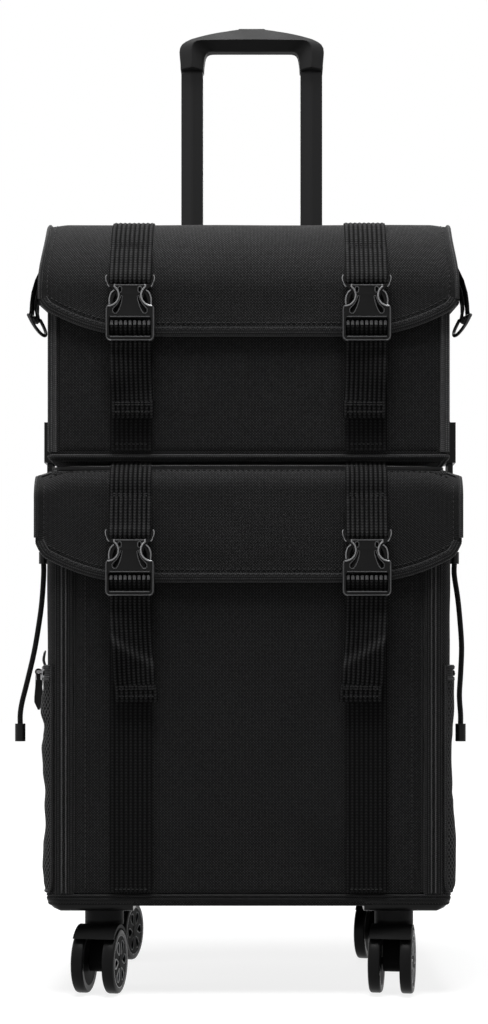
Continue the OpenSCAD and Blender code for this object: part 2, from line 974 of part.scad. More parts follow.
module upper_flap_panel() {
  color(cloth) {
    intersection() {
      across(2 * return_out)
        difference() {
          polygon(folded(upper_face_y, bag_back_y, upper_edge_z - 1, bag_top_z, fold_r));
          polygon(folded(upper_face_y + flap_t, bag_back_y + 1, upper_edge_z - 2,
                         bag_top_z - flap_top_t, rim_r));
        }
      translate([0, bag_back_y + 1, 0])
        outward(bag_back_y - upper_face_y + 2)
          polygon(flap_outline(return_out + 1, upper_edge_z, bag_top_z + 1));
    }
    both_sides()
      translate([(return_in + return_out) / 2, 0, 0])
        across(flap_t)
          difference() {
            polygon([
              [upper_face_y + 1, upper_edge_z + flap_rise],
              [bag_back_y - rake_y, upper_edge_z + flap_rise + rake_z],
              [bag_back_y - 2, bag_top_z - flap_top_t + 1], [upper_face_y + 1, bag_top_z - flap_top_t + 1]
            ]);
            polygon(fold_waste(upper_face_y + 1, bag_top_z - 1, fold_r - 1));
          }
  }
}

module upper_flap_straps() {
  color(webbing)
    at_straps(upper_face_y, upper_buckle_z) {
      flap_strap(fold_z - upper_buckle_z, fold_z - upper_buckle_z);
      fold_strap(fold_z - upper_buckle_z, fold_r);
    }
}

module upper_plugs() {
  color(plastic)
    at_straps(upper_face_y, upper_buckle_z)
      plug();
}

// Handle

module handle_tubes() {
  color(tube_metal)
    for (sx = [-1, 1])
      translate([sx * tube_x, tube_y, tube_z0])
        linear_extrude(tube_z1 - tube_z0)
          difference() {
            tube_plan(tube_w, tube_d);
            tube_plan(tube_w - 2 * tube_wall, tube_d - 2 * tube_wall);
          }
}

module grip() {
  color(plastic)
    difference() {
      translate([0, tube_y + grip_d / 2, 0])
        outward(grip_d)
          difference() {
            intersection() {
              translate([0, grip_top - arch_r])
                circle(arch_r, $fn = 180);
              translate([-grip_half, leg_z])
                square([2 * grip_half, grip_top - leg_z]);
            }
            translate([0, grip_under - grip_open_h / 2])
              rounded(2 * grip_in, grip_open_h, grip_open_r);
          }
      for (sx = [-1, 1])
        translate([sx * tube_x, tube_y, leg_z - 1])
          linear_extrude(leg_h + 2)
            tube_plan(tube_w + 0.2, tube_d + 0.2);
      slab(-tube_x - 5, tube_x + 5, tube_y - void_d / 2, tube_y + void_d / 2, void_z0, void_z1);
      slab(-button_w / 2 - fit, button_w / 2 + fit, tube_y - button_d / 2 - fit, tube_y + button_d / 2 + fit,
           yoke_z1 - button_travel - fit, grip_top + 1);
    }
}

module release_button() {
  color(plastic)
    slab(-button_w / 2, button_w / 2, tube_y - button_d / 2, tube_y + button_d / 2,
         yoke_z1, grip_top + button_up);
}

module release_linkage() {
  color(metal) {
    slab(-tube_x - 3.4, tube_x + 3.4, tube_y - 3, tube_y + 3, yoke_z1 - yoke_h, yoke_z1);
    for (sx = [-1, 1])
      translate([sx * tube_x, tube_y, tube_z0 + 8])
        cylinder(r = 2.5, h = yoke_z1 - yoke_h - tube_z0 - 7);
  }
}

// Casters, drawn with the swivel axis at the origin and the wheels trailing to the back

module at_caster(sx, sy, turn) {
  translate([sx * stem_x, body_shift + sy * stem_y, 0])
    rotate([0, 0, turn])
      children();
}

module fork() {
  color(plastic) {
    translate([0, 0, crown_z])
      cylinder(r = crown_r, h = guard_z - crown_gap - crown_z);
    translate([0, 0, guard_z - crown_gap - 1])
      cylinder(r = stem_r, h = floor_z - guard_z - 2 + crown_gap);
    across(leg_w) {
      polygon([
        [-11, crown_z + 2], [-9, axle_z + 12], [trail - 9, axle_z - 2],
        [trail + 9, axle_z + 2], [12, crown_z + 2]
      ]);
      translate([trail, axle_z])
        circle(9);
    }
    across(hood_w)
      intersection() {
        translate([trail, axle_z])
          difference() {
            circle(axle_z + hood_gap + hood_t);
            circle(axle_z + hood_gap);
          }
        translate([trail - wheel_d / 2, hood_lip])
          square([wheel_d, wheel_d]);
      }
    translate([0, trail, axle_z])
      rotate([0, 90, 0])
        cylinder(r = axle_r, h = wheel_gap + 2 * wheel_w - 2, center = true);
  }
}

module petal_plan() {
  intersection() {
    translate([0, 6.5])
      circle(9);
    translate([0, -6.5])
      circle(9);
  }
}

// One wheel with its inner face on the plane z = 0 and its hub cover towards +z
module wheel() {
  r = wheel_d / 2;
  difference() {
    rotate_extrude($fn = 96)
      polygon([
        [axle_r + run_play, 0], [r - 2, 0], [r - 0.6, 0.6], [r, 2.4], [r, wheel_w - 2.4],
        [r - 0.6, wheel_w - 0.6], [r - 2, wheel_w], [axle_r + run_play, wheel_w]
      ]);
    for (i = [0 : petals - 1])
      rotate([0, 0, i * 360 / petals])
        translate([r * 0.54, 0, wheel_w - 3])
          linear_extrude(4)
            petal_plan();
  }
}

module wheel_pair() {
  color(tyre)
    translate([0, trail, axle_z])
      both_sides()
        translate([wheel_gap / 2, 0, 0])
          rotate([0, 90, 0])
            wheel();
}

module caster_fork_fl() {
  at_caster(-1, -1, swivel_front)
    fork();
}

module caster_fork_fr() {
  at_caster(1, -1, swivel_front)
    fork();
}

module caster_fork_rl() {
  at_caster(-1, 1, swivel_rear)
    fork();
}

module caster_fork_rr() {
  at_caster(1, 1, swivel_rear)
    fork();
}

module wheels_fl() {
  at_caster(-1, -1, swivel_front)
    wheel_pair();
}

module wheels_fr() {
  at_caster(1, -1, swivel_front)
    wheel_pair();
}

module wheels_rl() {
  at_caster(-1, 1, swivel_rear)
    wheel_pair();
}

module wheels_rr() {
  at_caster(1, 1, swivel_rear)
    wheel_pair();
}

// Zip sliders and pulls of the side pockets

module pocket_slider(side, y) {
  color(metal)
    translate([side * slider_in, y, slider_z])
      scale([side, 1, 1]) {
        slab(0, slider_t, -6, 6, -4.5, 4.5);
        for (sy = [-1, 1])
          slab(slider_t - 0.5, pull_x - slider_in + pull_bar_r, sy * 4.6 - 1, sy * 4.6 + 1, -1.2, 1.2);
        translate([pull_x - slider_in, 0, 0])
          rotate([90, 0, 0])
            cylinder(r = pull_bar_r, h = 10, center = true);
      }
}

module pocket_pull(side, y) {
  color(plastic)
    translate([side * pull_x, y, slider_z])
      difference() {
        union() {
          rotate([90, 0, 0])
            cylinder(r = pull_ring_r, h = 6.4, center = true);
          slab(-1.6, 1.6, -pull_t / 2, pull_t / 2, -pull_neck - 1, -1);
          rotate([90, 0, 0])
            linear_extrude(pull_t, center = true)
              polygon([
                [-pull_w * 0.32, -pull_neck], [pull_w * 0.32, -pull_neck], [pull_w / 2, -pull_len * 0.66],
                [pull_w / 2, -pull_len * 0.8], [0.6, -pull_len], [-0.6, -pull_len],
                [-pull_w / 2, -pull_len * 0.8], [-pull_w / 2, -pull_len * 0.66]
              ]);
        }
        rotate([90, 0, 0])
          cylinder(r = pull_bar_r + fit, h = 20, center = true);
      }
}

module pocket_slider_left() {
  pocket_slider(-1, left_slider_y);
}

module pocket_slider_right() {
  pocket_slider(1, right_slider_y);
}

module pocket_pull_left() {
  pocket_pull(-1, left_slider_y);
}

module pocket_pull_right() {
  pocket_pull(1, right_slider_y);
}

base_board();
corner_guards();
caster_sockets();
base_welt();
back_panel();
side_panels();
front_borders();
door_zips();
lid_top();
lid_skirts();
guide_tubes();
handle_bezels();
mesh_pockets();
pocket_zips();
cord_ferrules();
drawcord_left();
drawcord_right();
cord_end_left();
cord_end_right();
tie_plugs();
door_panel();
door_straps();
lower_sockets();
lower_tails();
lower_flap_panel();
lower_flap_straps();
lower_plugs();
bag_base();
bag_front();
bag_back();
bag_sides();
bag_welt();
bag_straps();
upper_sockets();
upper_tails();
ring_tabs();
tie_sockets();
ring_left();
ring_right();
upper_flap_panel();
upper_flap_straps();
upper_plugs();
handle_tubes();
grip();
release_button();
release_linkage();
caster_fork_fl();
caster_fork_fr();
caster_fork_rl();
caster_fork_rr();
wheels_fl();
wheels_fr();
wheels_rl();
wheels_rr();
pocket_slider_left();
pocket_slider_right();
pocket_pull_left();
pocket_pull_right();
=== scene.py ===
import bpy
import bmesh
import math
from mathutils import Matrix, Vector, noise


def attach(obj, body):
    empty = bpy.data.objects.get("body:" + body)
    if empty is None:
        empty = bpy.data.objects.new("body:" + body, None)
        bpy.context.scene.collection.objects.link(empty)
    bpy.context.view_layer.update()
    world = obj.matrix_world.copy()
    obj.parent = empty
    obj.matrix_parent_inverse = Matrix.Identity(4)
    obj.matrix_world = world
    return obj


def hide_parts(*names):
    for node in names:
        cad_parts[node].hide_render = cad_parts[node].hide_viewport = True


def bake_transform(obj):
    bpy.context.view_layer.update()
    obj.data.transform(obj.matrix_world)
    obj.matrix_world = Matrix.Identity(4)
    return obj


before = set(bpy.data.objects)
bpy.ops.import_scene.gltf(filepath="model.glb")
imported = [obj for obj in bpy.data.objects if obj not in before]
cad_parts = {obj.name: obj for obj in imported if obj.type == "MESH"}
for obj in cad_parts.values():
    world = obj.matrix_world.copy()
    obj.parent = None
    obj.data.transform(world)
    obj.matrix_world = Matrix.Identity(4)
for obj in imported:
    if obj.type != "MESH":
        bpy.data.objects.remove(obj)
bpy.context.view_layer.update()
scene = bpy.context.scene
MM = 0.001
PI = math.pi
SIDES = (-1, 1)
NAMED_SIDES = ((-1, "left"), (1, "right"))

# Levels of the case in millimetres: x across, y to the back, z up
HALF_W, HALF_D, FRONT, BACK, MID_Y = 170.0, 120.0, -116.0, 124.0, 4.0
CORNER = 12.0
FLOOR_Z, LID_Z, TOP_Z = 84.0, 440.0, 448.0
DOOR_HALF, DOOR_Z0, DOOR_Z1, DOOR_BACK = 146.4, 86.0, 439.0, -110.0
DOOR_SIDE = DOOR_HALF + 0.6
LID_HALF, SKIRT_Z = 178.0, 380.0
LOW_FACE, LOW_EDGE, LOW_BUCKLE = -121.6, 348.0, 383.0
LOW_FOLD, LOW_FLAT = 22.0, 6.0
LOW_FOLD_Z = TOP_Z - LOW_FOLD
BAG_HALF, BAG_FRONT, BAG_BACK, BAG_CORNER = 168.0, -112.0, 85.4, 5.0
BAG_Z, BAG_RIM, BAG_TOP = 448.4, 648.1, 655.6
UP_FACE, UP_EDGE, UP_BUCKLE = -117.6, 554.4, 595.4
UP_FOLD, UP_DROP, FOLD_POWER = 38.0, 62.0, 1.8
UP_FOLD_Y, UP_FOLD_Z = UP_FACE + UP_FOLD, BAG_TOP - UP_DROP
RETURN = 175.6
STRAP_X, WEB_W, WEB_T = 98.5, 35.0, 2.0
RIB, PICK, RIBS = 4.0, 2.6, 9
BUCKLE_OUT = 5.7
SIDE_Y, RING_Y = -13.3, -49.3
TUBE_X, TUBE_Y = 57.5, 108.4


def V(x, y, z=0.0):
    return Vector((x, y, z))


AHEAD = V(0, -1)


def smooth(t):
    t = min(1.0, max(0.0, t))
    return t * t * (3 - 2 * t)


def hump(t):
    """Half a sine wave from 0 to 1."""
    return math.sin(PI * min(1, max(0, t)))


def soft(x, y, z, size, amount):
    """Low swell of stuffed cloth."""
    return amount * noise.noise(V(x / size, y / size, z / size))


def polar(r, degrees):
    a = math.radians(degrees)
    return r * math.cos(a), r * math.sin(a)


def arc(cx, cy, r, a0, a1, n):
    """Points of an arc in n steps, angles in degrees."""
    turned = [polar(r, a0 + (a1 - a0) * k / n) for k in range(n + 1)]
    return [(cx + x, cy + y) for x, y in turned]


def steps(a, b, n, first=0):
    """Numbers from a to b in n even steps."""
    return [a + (b - a) * k / n for k in range(first, n + 1)]


# ---------- camera

FOCAL_PX, FRAME_W, FRAME_H, SENSOR = 1740.0, 488.0, 1024.0, 36.0
HORIZON_PX, MIDDLE_PX = 673.0, 248.6
CAMERA, TO_FRONT = V(20.0, -1575.0, 271.0), 1459.0

cam_data = bpy.data.cameras.new("camera")
cam_data.sensor_width = SENSOR
cam_data.lens = FOCAL_PX * SENSOR / FRAME_H
cam_data.shift_y = (HORIZON_PX - FRAME_H / 2) / FRAME_H
cam_data.shift_x = (FRAME_W / 2 - MIDDLE_PX - CAMERA.x * FOCAL_PX / TO_FRONT) / FRAME_H
camera = bpy.data.objects.new("camera", cam_data)
camera.location = CAMERA * MM
camera.rotation_euler = (math.radians(90), 0.0, 0.0)
scene.collection.objects.link(camera)
scene.camera = camera


# ---------- materials

def grey(v):
    return (v, v, v * 1.02, 1.0)


class Nodes:
    """Short hand for wiring the nodes of a material or a world."""

    def __init__(self, owner):
        self.t = owner.node_tree
        self.bsdf = self.t.nodes.get("Principled BSDF")

    def put(self, socket, value):
        if isinstance(value, bpy.types.NodeSocket):
            self.t.links.new(value, socket)
        else:
            socket.default_value = value

    def new(self, kind, **inputs):
        n = self.t.nodes.new(kind)
        for key, value in inputs.items():
            self.put(n.inputs[key], value)
        return n

    def surface(self, **inputs):
        """Sets or links the shader's own sockets; _ stands for a space in their names."""
        for key, value in inputs.items():
            self.put(self.bsdf.inputs[key.replace("_", " ")], value)

    def math(self, op, a, b=0.0, c=0.0, clamp=False):
        n = self.t.nodes.new("ShaderNodeMath")
        n.operation = op
        n.use_clamp = clamp
        for socket, value in zip(n.inputs, (a, b, c)):
            self.put(socket, value)
        return n.outputs[0]

    def mul(self, a, b, clamp=False):
        return self.math("MULTIPLY", a, b, clamp=clamp)

    def madd(self, a, b, c, clamp=False):
        return self.math("MULTIPLY_ADD", a, b, c, clamp)

    def off_middle(self, a):
        """Distance from the middle of each whole step of a."""
        return self.math("ABSOLUTE", self.math("SUBTRACT", self.math("FRACT", a), 0.5))

    def wave(self, a):
        """Half a sine wave over each whole step of a."""
        return self.math("SINE", self.mul(self.math("FRACT", a), PI))

    def mix(self, kind, fac, a, b):
        n = self.t.nodes.new("ShaderNodeMix")
        n.data_type = kind
        first = {"FLOAT": 2, "RGBA": 6}[kind]
        for k, value in ((0, fac), (first, a), (first + 1, b)):
            self.put(n.inputs[k], value)
        return n.outputs[first // 3]

    def coords(self, which, scale=(1.0, 1.0, 1.0), turn=0.0, lift=0.0):
        tc = self.t.nodes.new("ShaderNodeTexCoord")
        return self.new("ShaderNodeMapping", Vector=tc.outputs[which], Scale=scale,
                        Rotation=(0.0, 0.0, turn), Location=(0.0, 0.0, lift)).outputs[0]

    def split(self, vector):
        return self.new("ShaderNodeSeparateXYZ", Vector=vector).outputs

    def noise(self, vector, scale, detail):
        n = self.new("ShaderNodeTexNoise", Vector=vector, Scale=scale, Detail=detail)
        return n.outputs["Fac"]

    def shade(self, fac, low, high, rough):
        self.surface(Base_Color=self.mix("RGBA", fac, grey(low), grey(high)), Roughness=rough)

    def bump(self, height, strength, distance):
        n = self.new("ShaderNodeBump", Height=height, Strength=strength, Distance=distance)
        self.put(self.bsdf.inputs["Normal"], n.outputs["Normal"])


def material(name, shade, rough, spec, metal=0.0, sheen=0.0):
    m = bpy.data.materials.new(name)
    m.use_nodes = True
    n = Nodes(m)
    n.surface(Base_Color=grey(shade), Roughness=rough, Metallic=metal, Specular_IOR_Level=spec,
              Sheen_Weight=sheen, Sheen_Roughness=0.45)
    return m, n


def woven(name, low, high, cell, rough, sheen, bump=0.6, turn=0.0, lit=1.5):
    """Plain weave: warp and weft threads take turns on top, with uneven yarn and faint wear. Its
    colour follows thread height, with painted light on the crowns and painted shade in the hollows
    between threads.
    """
    m, n = material(name, high, rough, 0.06, sheen=sheen)
    uv = n.coords("UV", (1 / (cell[0] * MM), 1 / (cell[1] * MM), 1.0), turn, 0.5)
    sep = n.split(uv)
    su, sv = n.wave(sep[0]), n.wave(sep[1])
    over = n.new("ShaderNodeTexChecker", Vector=uv, Scale=1.0).outputs["Fac"]
    warp = n.mul(su, n.madd(sv, 0.6, 0.4))
    weft = n.mul(n.mul(sv, 0.55), n.madd(su, 0.6, 0.4))
    height = n.mix("FLOAT", over, warp, weft)
    place = n.coords("Object")
    uneven, worn = n.noise(place, 420.0, 2.0), n.noise(place, 14.0, 4.0)
    # painted light and shade: thread crowns lighter, hollows between threads darker
    painted_crown_light = n.mul(n.math("POWER", height, lit), n.madd(uneven, 1.1, 0.35))
    fac = n.mul(painted_crown_light, n.madd(worn, 0.7, 0.6), clamp=True)
    n.bump(n.madd(uneven, 0.25, height), bump, 0.0003)
    n.shade(fac, low, high, n.madd(worn, 0.16, rough - 0.08))
    return m


def ribbed(name, low, high, rough):
    """Webbing: lengthwise ribs of slanting threads, with painted shade in the grooves between them
    and painted light on the rib tops.
    """
    m, n = material(name, high, rough, 0.02, sheen=0.03)
    sep = n.split(n.coords("UV", (1 / (RIB * MM), 1 / (PICK * MM), 1.0)))
    ridge = n.wave(sep[0])
    pick = n.wave(n.math("ADD", sep[1], n.off_middle(sep[0])))
    place = n.coords("Object")
    uneven, worn = n.noise(place, 380.0, 2.0), n.noise(place, 18.0, 4.0)
    # painted shade in the grooves, painted light on the rib tops
    fac = n.mul(n.math("POWER", ridge, 1.7), n.madd(n.math("POWER", pick, 1.5), 0.85, 0.15))
    fac = n.mul(fac, n.madd(uneven, 0.9, 0.45))
    fac = n.mul(fac, n.madd(worn, 0.6, 0.65), clamp=True)
    n.bump(n.madd(pick, 0.35, ridge), 0.7, 0.0006)
    n.shade(fac, low, high, n.madd(worn, 0.16, rough - 0.08))
    return m


def moulded(name, low, high, rough, spec=0.3, metal=0.0, grain=900.0, bump=0.12,
            stretch=(1.0, 1.0, 1.0), pale_above=None):
    """Moulded or drawn surface: fine grain, soft mottling, and convex edges made lighter, partly as
    rubbing and partly as painted highlight.
    """
    m, n = material(name, low, rough, spec, metal)
    place = n.coords("Object", stretch)
    fine, broad = n.noise(place, grain, 2.0), n.noise(place, 35.0, 4.0)
    # convex edges lighter: partly rubbing, partly painted highlight
    edge = n.new("ShaderNodeNewGeometry").outputs["Pointiness"]
    edge_wear_and_highlight = n.mul(n.math("SUBTRACT", edge, 0.52), 5.0, clamp=True)
    fac = n.madd(edge_wear_and_highlight, 0.7, n.mul(broad, 0.5), clamp=True)
    if pale_above is not None:
        pale = n.mul(n.math("SUBTRACT", n.split(place)["Z"], pale_above), 500.0, clamp=True)
        fac = n.madd(fac, 0.12, pale, clamp=True)
    n.bump(fine, bump, 0.0002)
    n.shade(fac, low, high, n.madd(broad, 0.2, rough - 0.1))
    return m


def meshed(name, low, high, pitch):
    """Knitted net: a diamond lattice of thread over dark holes."""
    m, n = material(name, high, 0.7, 0.04, sheen=0.15)
    sep = n.split(n.coords("UV", (1 / (pitch * MM), 0.6 / (pitch * MM), 1.0), PI / 4))
    rib = n.math("MAXIMUM", n.off_middle(sep[0]), n.off_middle(sep[1]))
    thread = n.mul(n.math("SUBTRACT", rib, 0.26), 5.0, clamp=True)
    fuzz = n.noise(n.coords("Object"), 700.0, 2.0)
    n.bump(n.madd(fuzz, 0.3, thread), 0.9, 0.0008)
    fac = n.mul(thread, n.math("ADD", fuzz, 0.4))
    n.shade(fac, low, high, n.madd(fuzz, 0.2, 0.6))
    return m


OXFORD, TAPE_CELL = (1.2, 1.2), (2.2, 0.8)
CLOTH = woven("black_oxford", 0.002, 0.105, OXFORD, 0.78, 0.1, bump=0.9, lit=2.0)
PANEL = woven("black_oxford_panel", 0.002, 0.10, OXFORD, 0.8, 0.1, bump=0.9, lit=2.0)
LINING = woven("lining_nylon", 0.012, 0.045, (0.5, 0.5), 0.6, 0.1, bump=0.2)
WEBBING = ribbed("webbing", 0.002, 0.06, 0.7)
# darker copies of the webbing as painted shade: half shaded for the hanging tails, fully shaded for
# the straps on the door and the bag
HALF_SHADED_WEBBING = ribbed("webbing_half_shaded", 0.004, 0.05, 0.72)
SHADED = ribbed("webbing_shaded", 0.006, 0.03, 0.75)
# binding tape a little lighter than the cloth: partly the tape's own tone, partly painted sheen on
# piping and rolled edges
TRIM = woven("binding_tape", 0.008, 0.13, TAPE_CELL, 0.72, 0.15)
BOTTOM = woven("bottom_tape", 0.004, 0.075, (0.9, 0.9), 0.7, 0.1)
TAPE = woven("zip_tape", 0.004, 0.075, TAPE_CELL, 0.72, 0.12)
# painted highlight: bright tape for the piping and edge bands where they catch the light
BAND_HIGHLIGHT = woven("edge_band_highlight", 0.02, 0.2, TAPE_CELL, 0.66, 0.2)
CORD = woven("braided_cord", 0.003, 0.04, (1.8, 1.8), 0.75, 0.1, turn=PI / 4)
THREAD = woven("sewing_thread", 0.016, 0.09, (0.4, 0.8), 0.6, 0.1)
NET = meshed("pocket_net", 0.002, 0.08, 2.4)
# painted highlight: bright lines along the zip tapes
ZIP_HIGHLIGHT = woven("zip_edge_highlight", 0.05, 0.3, TAPE_CELL, 0.6, 0.2)
PLASTIC = moulded("buckle_nylon", 0.005, 0.016, 0.3, spec=0.11)
# painted highlight on the buckles' curved rims
RIM_HIGHLIGHT = moulded("buckle_rim_highlight", 0.2, 0.34, 0.28, metal=0.25)
# painted highlight on the wheel hubs' rims and openings
HUB_HIGHLIGHT = moulded("lit_edge", 0.45, 0.7, 0.4, spec=0.15)
# painted highlight on the buckles' edges and bars
EDGE_HIGHLIGHT = moulded("buckle_edge_highlight", 0.08, 0.13, 0.3, spec=0.15)
# painted highlight on the ladder teeth
TOOTH_HIGHLIGHT = moulded("ladder_teeth_highlight", 0.2, 0.36, 0.4, spec=0.15)
CASTER = moulded("caster_nylon", 0.002, 0.005, 0.55, spec=0.03)
FORK = moulded("caster_fork", 0.001, 0.035, 0.5, spec=0.03, pale_above=0.0595)
RUBBER = moulded("wheel_tread", 0.003, 0.008, 0.36, spec=0.09, grain=1600.0, bump=0.05)
GRIP = moulded("grip_plastic", 0.008, 0.018, 0.6, spec=0.12, grain=1400.0, bump=0.2)
TUBE = moulded("tube_metal", 0.01, 0.022, 0.36, spec=0.12, metal=0.75, bump=0.05,
               stretch=(1.0, 1.0, 0.02))
STEEL = moulded("dark_steel", 0.025, 0.09, 0.32, metal=0.9, bump=0.05)
BRIGHT = moulded("slider_metal", 0.25, 0.45, 0.3, metal=0.95, bump=0.05)
CLOTH_SET, PANEL_SET = [CLOTH, LINING, TRIM], [PANEL, LINING, TRIM]


# ---------- mesh building

def tangents(points, closed=False):
    """Direction of a line at each of its points."""
    n = len(points)
    if closed:
        pairs = [(i - 1, (i + 1) % n) for i in range(n)]
    else:
        pairs = [(max(i - 1, 0), min(i + 1, n - 1)) for i in range(n)]
    return [(points[j] - points[i]).normalized() for i, j in pairs]


def welded(me, dist):
    bm = bmesh.new()
    bm.from_mesh(me)
    bmesh.ops.remove_doubles(bm, verts=bm.verts, dist=dist)
    return bm


class Build:
    """Collects faces in millimetres with texture coordinates in metres."""

    def __init__(self):
        self.v, self.f, self.uv, self.m = [], [], [], []

    def face(self, ids, uvs, mat=0):
        self.f.append(list(ids))
        self.uv.append([(a * MM, b * MM) for a, b in uvs])
        self.m.append(mat)

    def grid(self, rows, mat=0, wrap=False, out=None, across=None):
        """Skin over rows of points; out(middle) is the way its faces look."""
        n, m, base = len(rows), len(rows[0]), len(self.v)
        rows = [[Vector(p) for p in r] for r in rows]
        for r in rows:
            self.v.extend(r)
        probe = [rows[0], rows[n // 2], rows[-1]]
        us, vs = [0.0], [0.0]
        for i in range(1, m + wrap):
            us.append(us[-1] + max((r[i % m] - r[i - 1]).length for r in probe))
        if across is not None:
            us = across + across[:1]
        cols = [0, m // 2, m - 1]
        for j in range(1, n):
            vs.append(vs[-1] + max((rows[j][c] - rows[j - 1][c]).length for c in cols))
        for j in range(n - 1):
            here, there = base + j * m, base + (j + 1) * m
            for i in range(m - 1 + wrap):
                k = (i + 1) % m
                ids = [here + i, here + k, there + k, there + i]
                uvs = [(us[i], vs[j]), (us[i + 1], vs[j]),
                       (us[i + 1], vs[j + 1]), (us[i], vs[j + 1])]
                if out is not None:
                    a, b, c, d = (self.v[q] for q in ids)
                    if (c - a).cross(d - b).dot(out((a + b + c + d) / 4)) < 0:
                        ids.reverse()
                        uvs.reverse()
                self.face(ids, uvs, mat)
        return base

    def cap(self, ids, mat=0, axes=(0, 2)):
        self.face(ids, [(self.v[i][axes[0]], self.v[i][axes[1]]) for i in ids], mat)

    def loft(self, rows, mat=0, ends=None, axes=(0, 2), across=None):
        """Closed skin through rings of points, with a cap on each end."""
        n, m = len(rows), len(rows[0])
        first, last = ends or (mat, mat)
        base = self.grid(rows, mat, wrap=True, across=across)
        self.cap([base + k for k in range(m)], first, axes)
        self.cap([base + (n - 1) * m + k for k in reversed(range(m))], last, axes)

    def sweep(self, path, profile, side, mat=0, closed=False, across=None):
        """Sweeps a closed profile (across, outward) along a path; side is the way across."""
        path = [Vector(p) for p in path]
        rows = []
        for i, t in enumerate(tangents(path, closed)):
            s = side(i, t) if callable(side) else Vector(side)
            s = (s - t * s.dot(t)).normalized()
            w = t.cross(s)
            shape = profile(i) if callable(profile) else profile
            rows.append([path[i] + s * a + w * b for a, b in shape])
        if closed:
            self.grid(rows + rows[:1], mat, wrap=True, across=across)
        else:
            self.loft(rows, mat, across=across)
        return self

    def tube(self, path, r, n=8, mat=0, closed=False):
        """Round tube; its frame is carried along the path so that it doesn't twist."""
        last = [V(0.31, 0.17, 0.93)]

        def side(i, t):
            s = last[0] - t * last[0].dot(t)
            if s.length < 1e-4:
                s = t.orthogonal()
            last[0] = s.normalized()
            return last[0]
        ring = [polar(r, 360 * k / n) for k in range(n)]
        return self.sweep(path, ring, side, mat, closed)

    def stitches(self, path, out, mat=0, pitch=4.2, length=3.0, r=0.42):
        """Separate stitches along a path; out is the direction away from the cloth."""
        path = [Vector(p) for p in path]
        lens = [0.0]
        for a, b in zip(path, path[1:]):
            lens.append(lens[-1] + (b - a).length)
        count = int(lens[-1] / pitch)
        flat = [(0, 0), (0, 1), (1, 1), (1, 0)]
        j, h = 0, length / 2
        for k in range(count):
            s = (k + 0.5) * lens[-1] / count
            while j < len(lens) - 2 and lens[j + 1] < s:
                j += 1
            t = (path[j + 1] - path[j]).normalized()
            c = path[j] + t * (s - lens[j])
            w = (Vector(out(c)) if callable(out) else Vector(out)).normalized()
            x = t.cross(w)
            b = len(self.v)
            self.v.append(c - t * h - w * r * 0.6)
            for e in (-0.55, 0.55):
                p = c + t * h * e
                self.v += [p + x * r, p + w * r, p - x * r, p - w * r * 0.8]
            self.v.append(c + t * h - w * r * 0.6)
            for q in range(4):
                e = (q + 1) % 4
                self.face([b, b + 1 + e, b + 1 + q], flat[:3], mat)
                self.face([b + 1 + q, b + 1 + e, b + 5 + e, b + 5 + q], flat, mat)
                self.face([b + 9, b + 5 + q, b + 5 + e], flat[:3], mat)

    def plate(self, loops, depth, bevel, place, mat=0, res=2):
        """Outline with holes, given depth and rounded edges; place maps (u, v, w) to the case."""
        cu = bpy.data.curves.new("outline", "CURVE")
        cu.dimensions, cu.fill_mode = "2D", "BOTH"
        cu.extrude = depth / 2 - bevel
        cu.bevel_depth, cu.bevel_resolution = bevel, res
        cu.offset = -bevel
        for loop in loops:
            sp = cu.splines.new("POLY")
            sp.points.add(len(loop) - 1)
            for q, (x, y) in zip(sp.points, loop):
                q.co = (x, y, 0.0, 1.0)
            sp.use_cyclic_u = True
        ob = bpy.data.objects.new("outline", cu)
        scene.collection.objects.link(ob)
        dg = bpy.context.evaluated_depsgraph_get()
        me = bpy.data.meshes.new_from_object(ob.evaluated_get(dg))
        bm = welded(me, 1e-4)
        bm.verts.index_update()
        base = len(self.v)
        flat = [v.co.copy() for v in bm.verts]
        self.v += [Vector(place(*c)) for c in flat]
        for f in bm.faces:
            ids = [v.index for v in f.verts]
            uvs = [(flat[i].x + flat[i].z, flat[i].y + flat[i].z) for i in ids]
            self.face([base + i for i in ids], uvs, mat)
        bm.free()
        bpy.data.objects.remove(ob)
        bpy.data.curves.remove(cu)
        bpy.data.meshes.remove(me)

    def lathe(self, profile, place, n, mat=0):
        """Turns a closed (radius, along) profile about an axis."""
        rows = []
        for k in range(n):
            c, d = polar(1.0, 360 * k / n)
            rows.append([Vector(place(r * c, r * d, h)) for r, h in profile])
        self.grid(rows + rows[:1], mat, wrap=True)

    def make(self, name, body, mats, slot, replaces=(), sharp=38.0, solid=True):
        """Makes the piece, welded, and rides it on its body."""
        me = bpy.data.meshes.new(name)
        me.from_pydata([tuple(c * MM for c in v) for v in self.v], [], self.f)
        me.polygons.foreach_set("material_index", self.m)
        layer = me.uv_layers.new(name="UVMap")
        layer.data.foreach_set("uv", [c for uvs in self.uv for p in uvs for c in p])
        for m in mats if isinstance(mats, list) else [mats]:
            me.materials.append(m)
        bm = welded(me, 2e-6)
        if solid:
            bmesh.ops.recalc_face_normals(bm, faces=bm.faces)
        bm.to_mesh(me)
        bm.free()
        me.polygons.foreach_set("use_smooth", [True] * len(me.polygons))
        me.set_sharp_from_angle(angle=math.radians(sharp))
        ob = bpy.data.objects.new(name, me)
        scene.collection.objects.link(ob)
        if replaces:
            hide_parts(*replaces)
        if body:
            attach(ob, body)
        return ob


def thicken(ob, thickness, rim=2):
    """Gives a sheet its thickness on the inner side, lined with its second material."""
    mod = ob.modifiers.new("thickness", "SOLIDIFY")
    mod.thickness = thickness * MM
    mod.offset = -1.0
    mod.use_rim = True
    mod.material_offset = 1
    mod.material_offset_rim = rim
    return ob


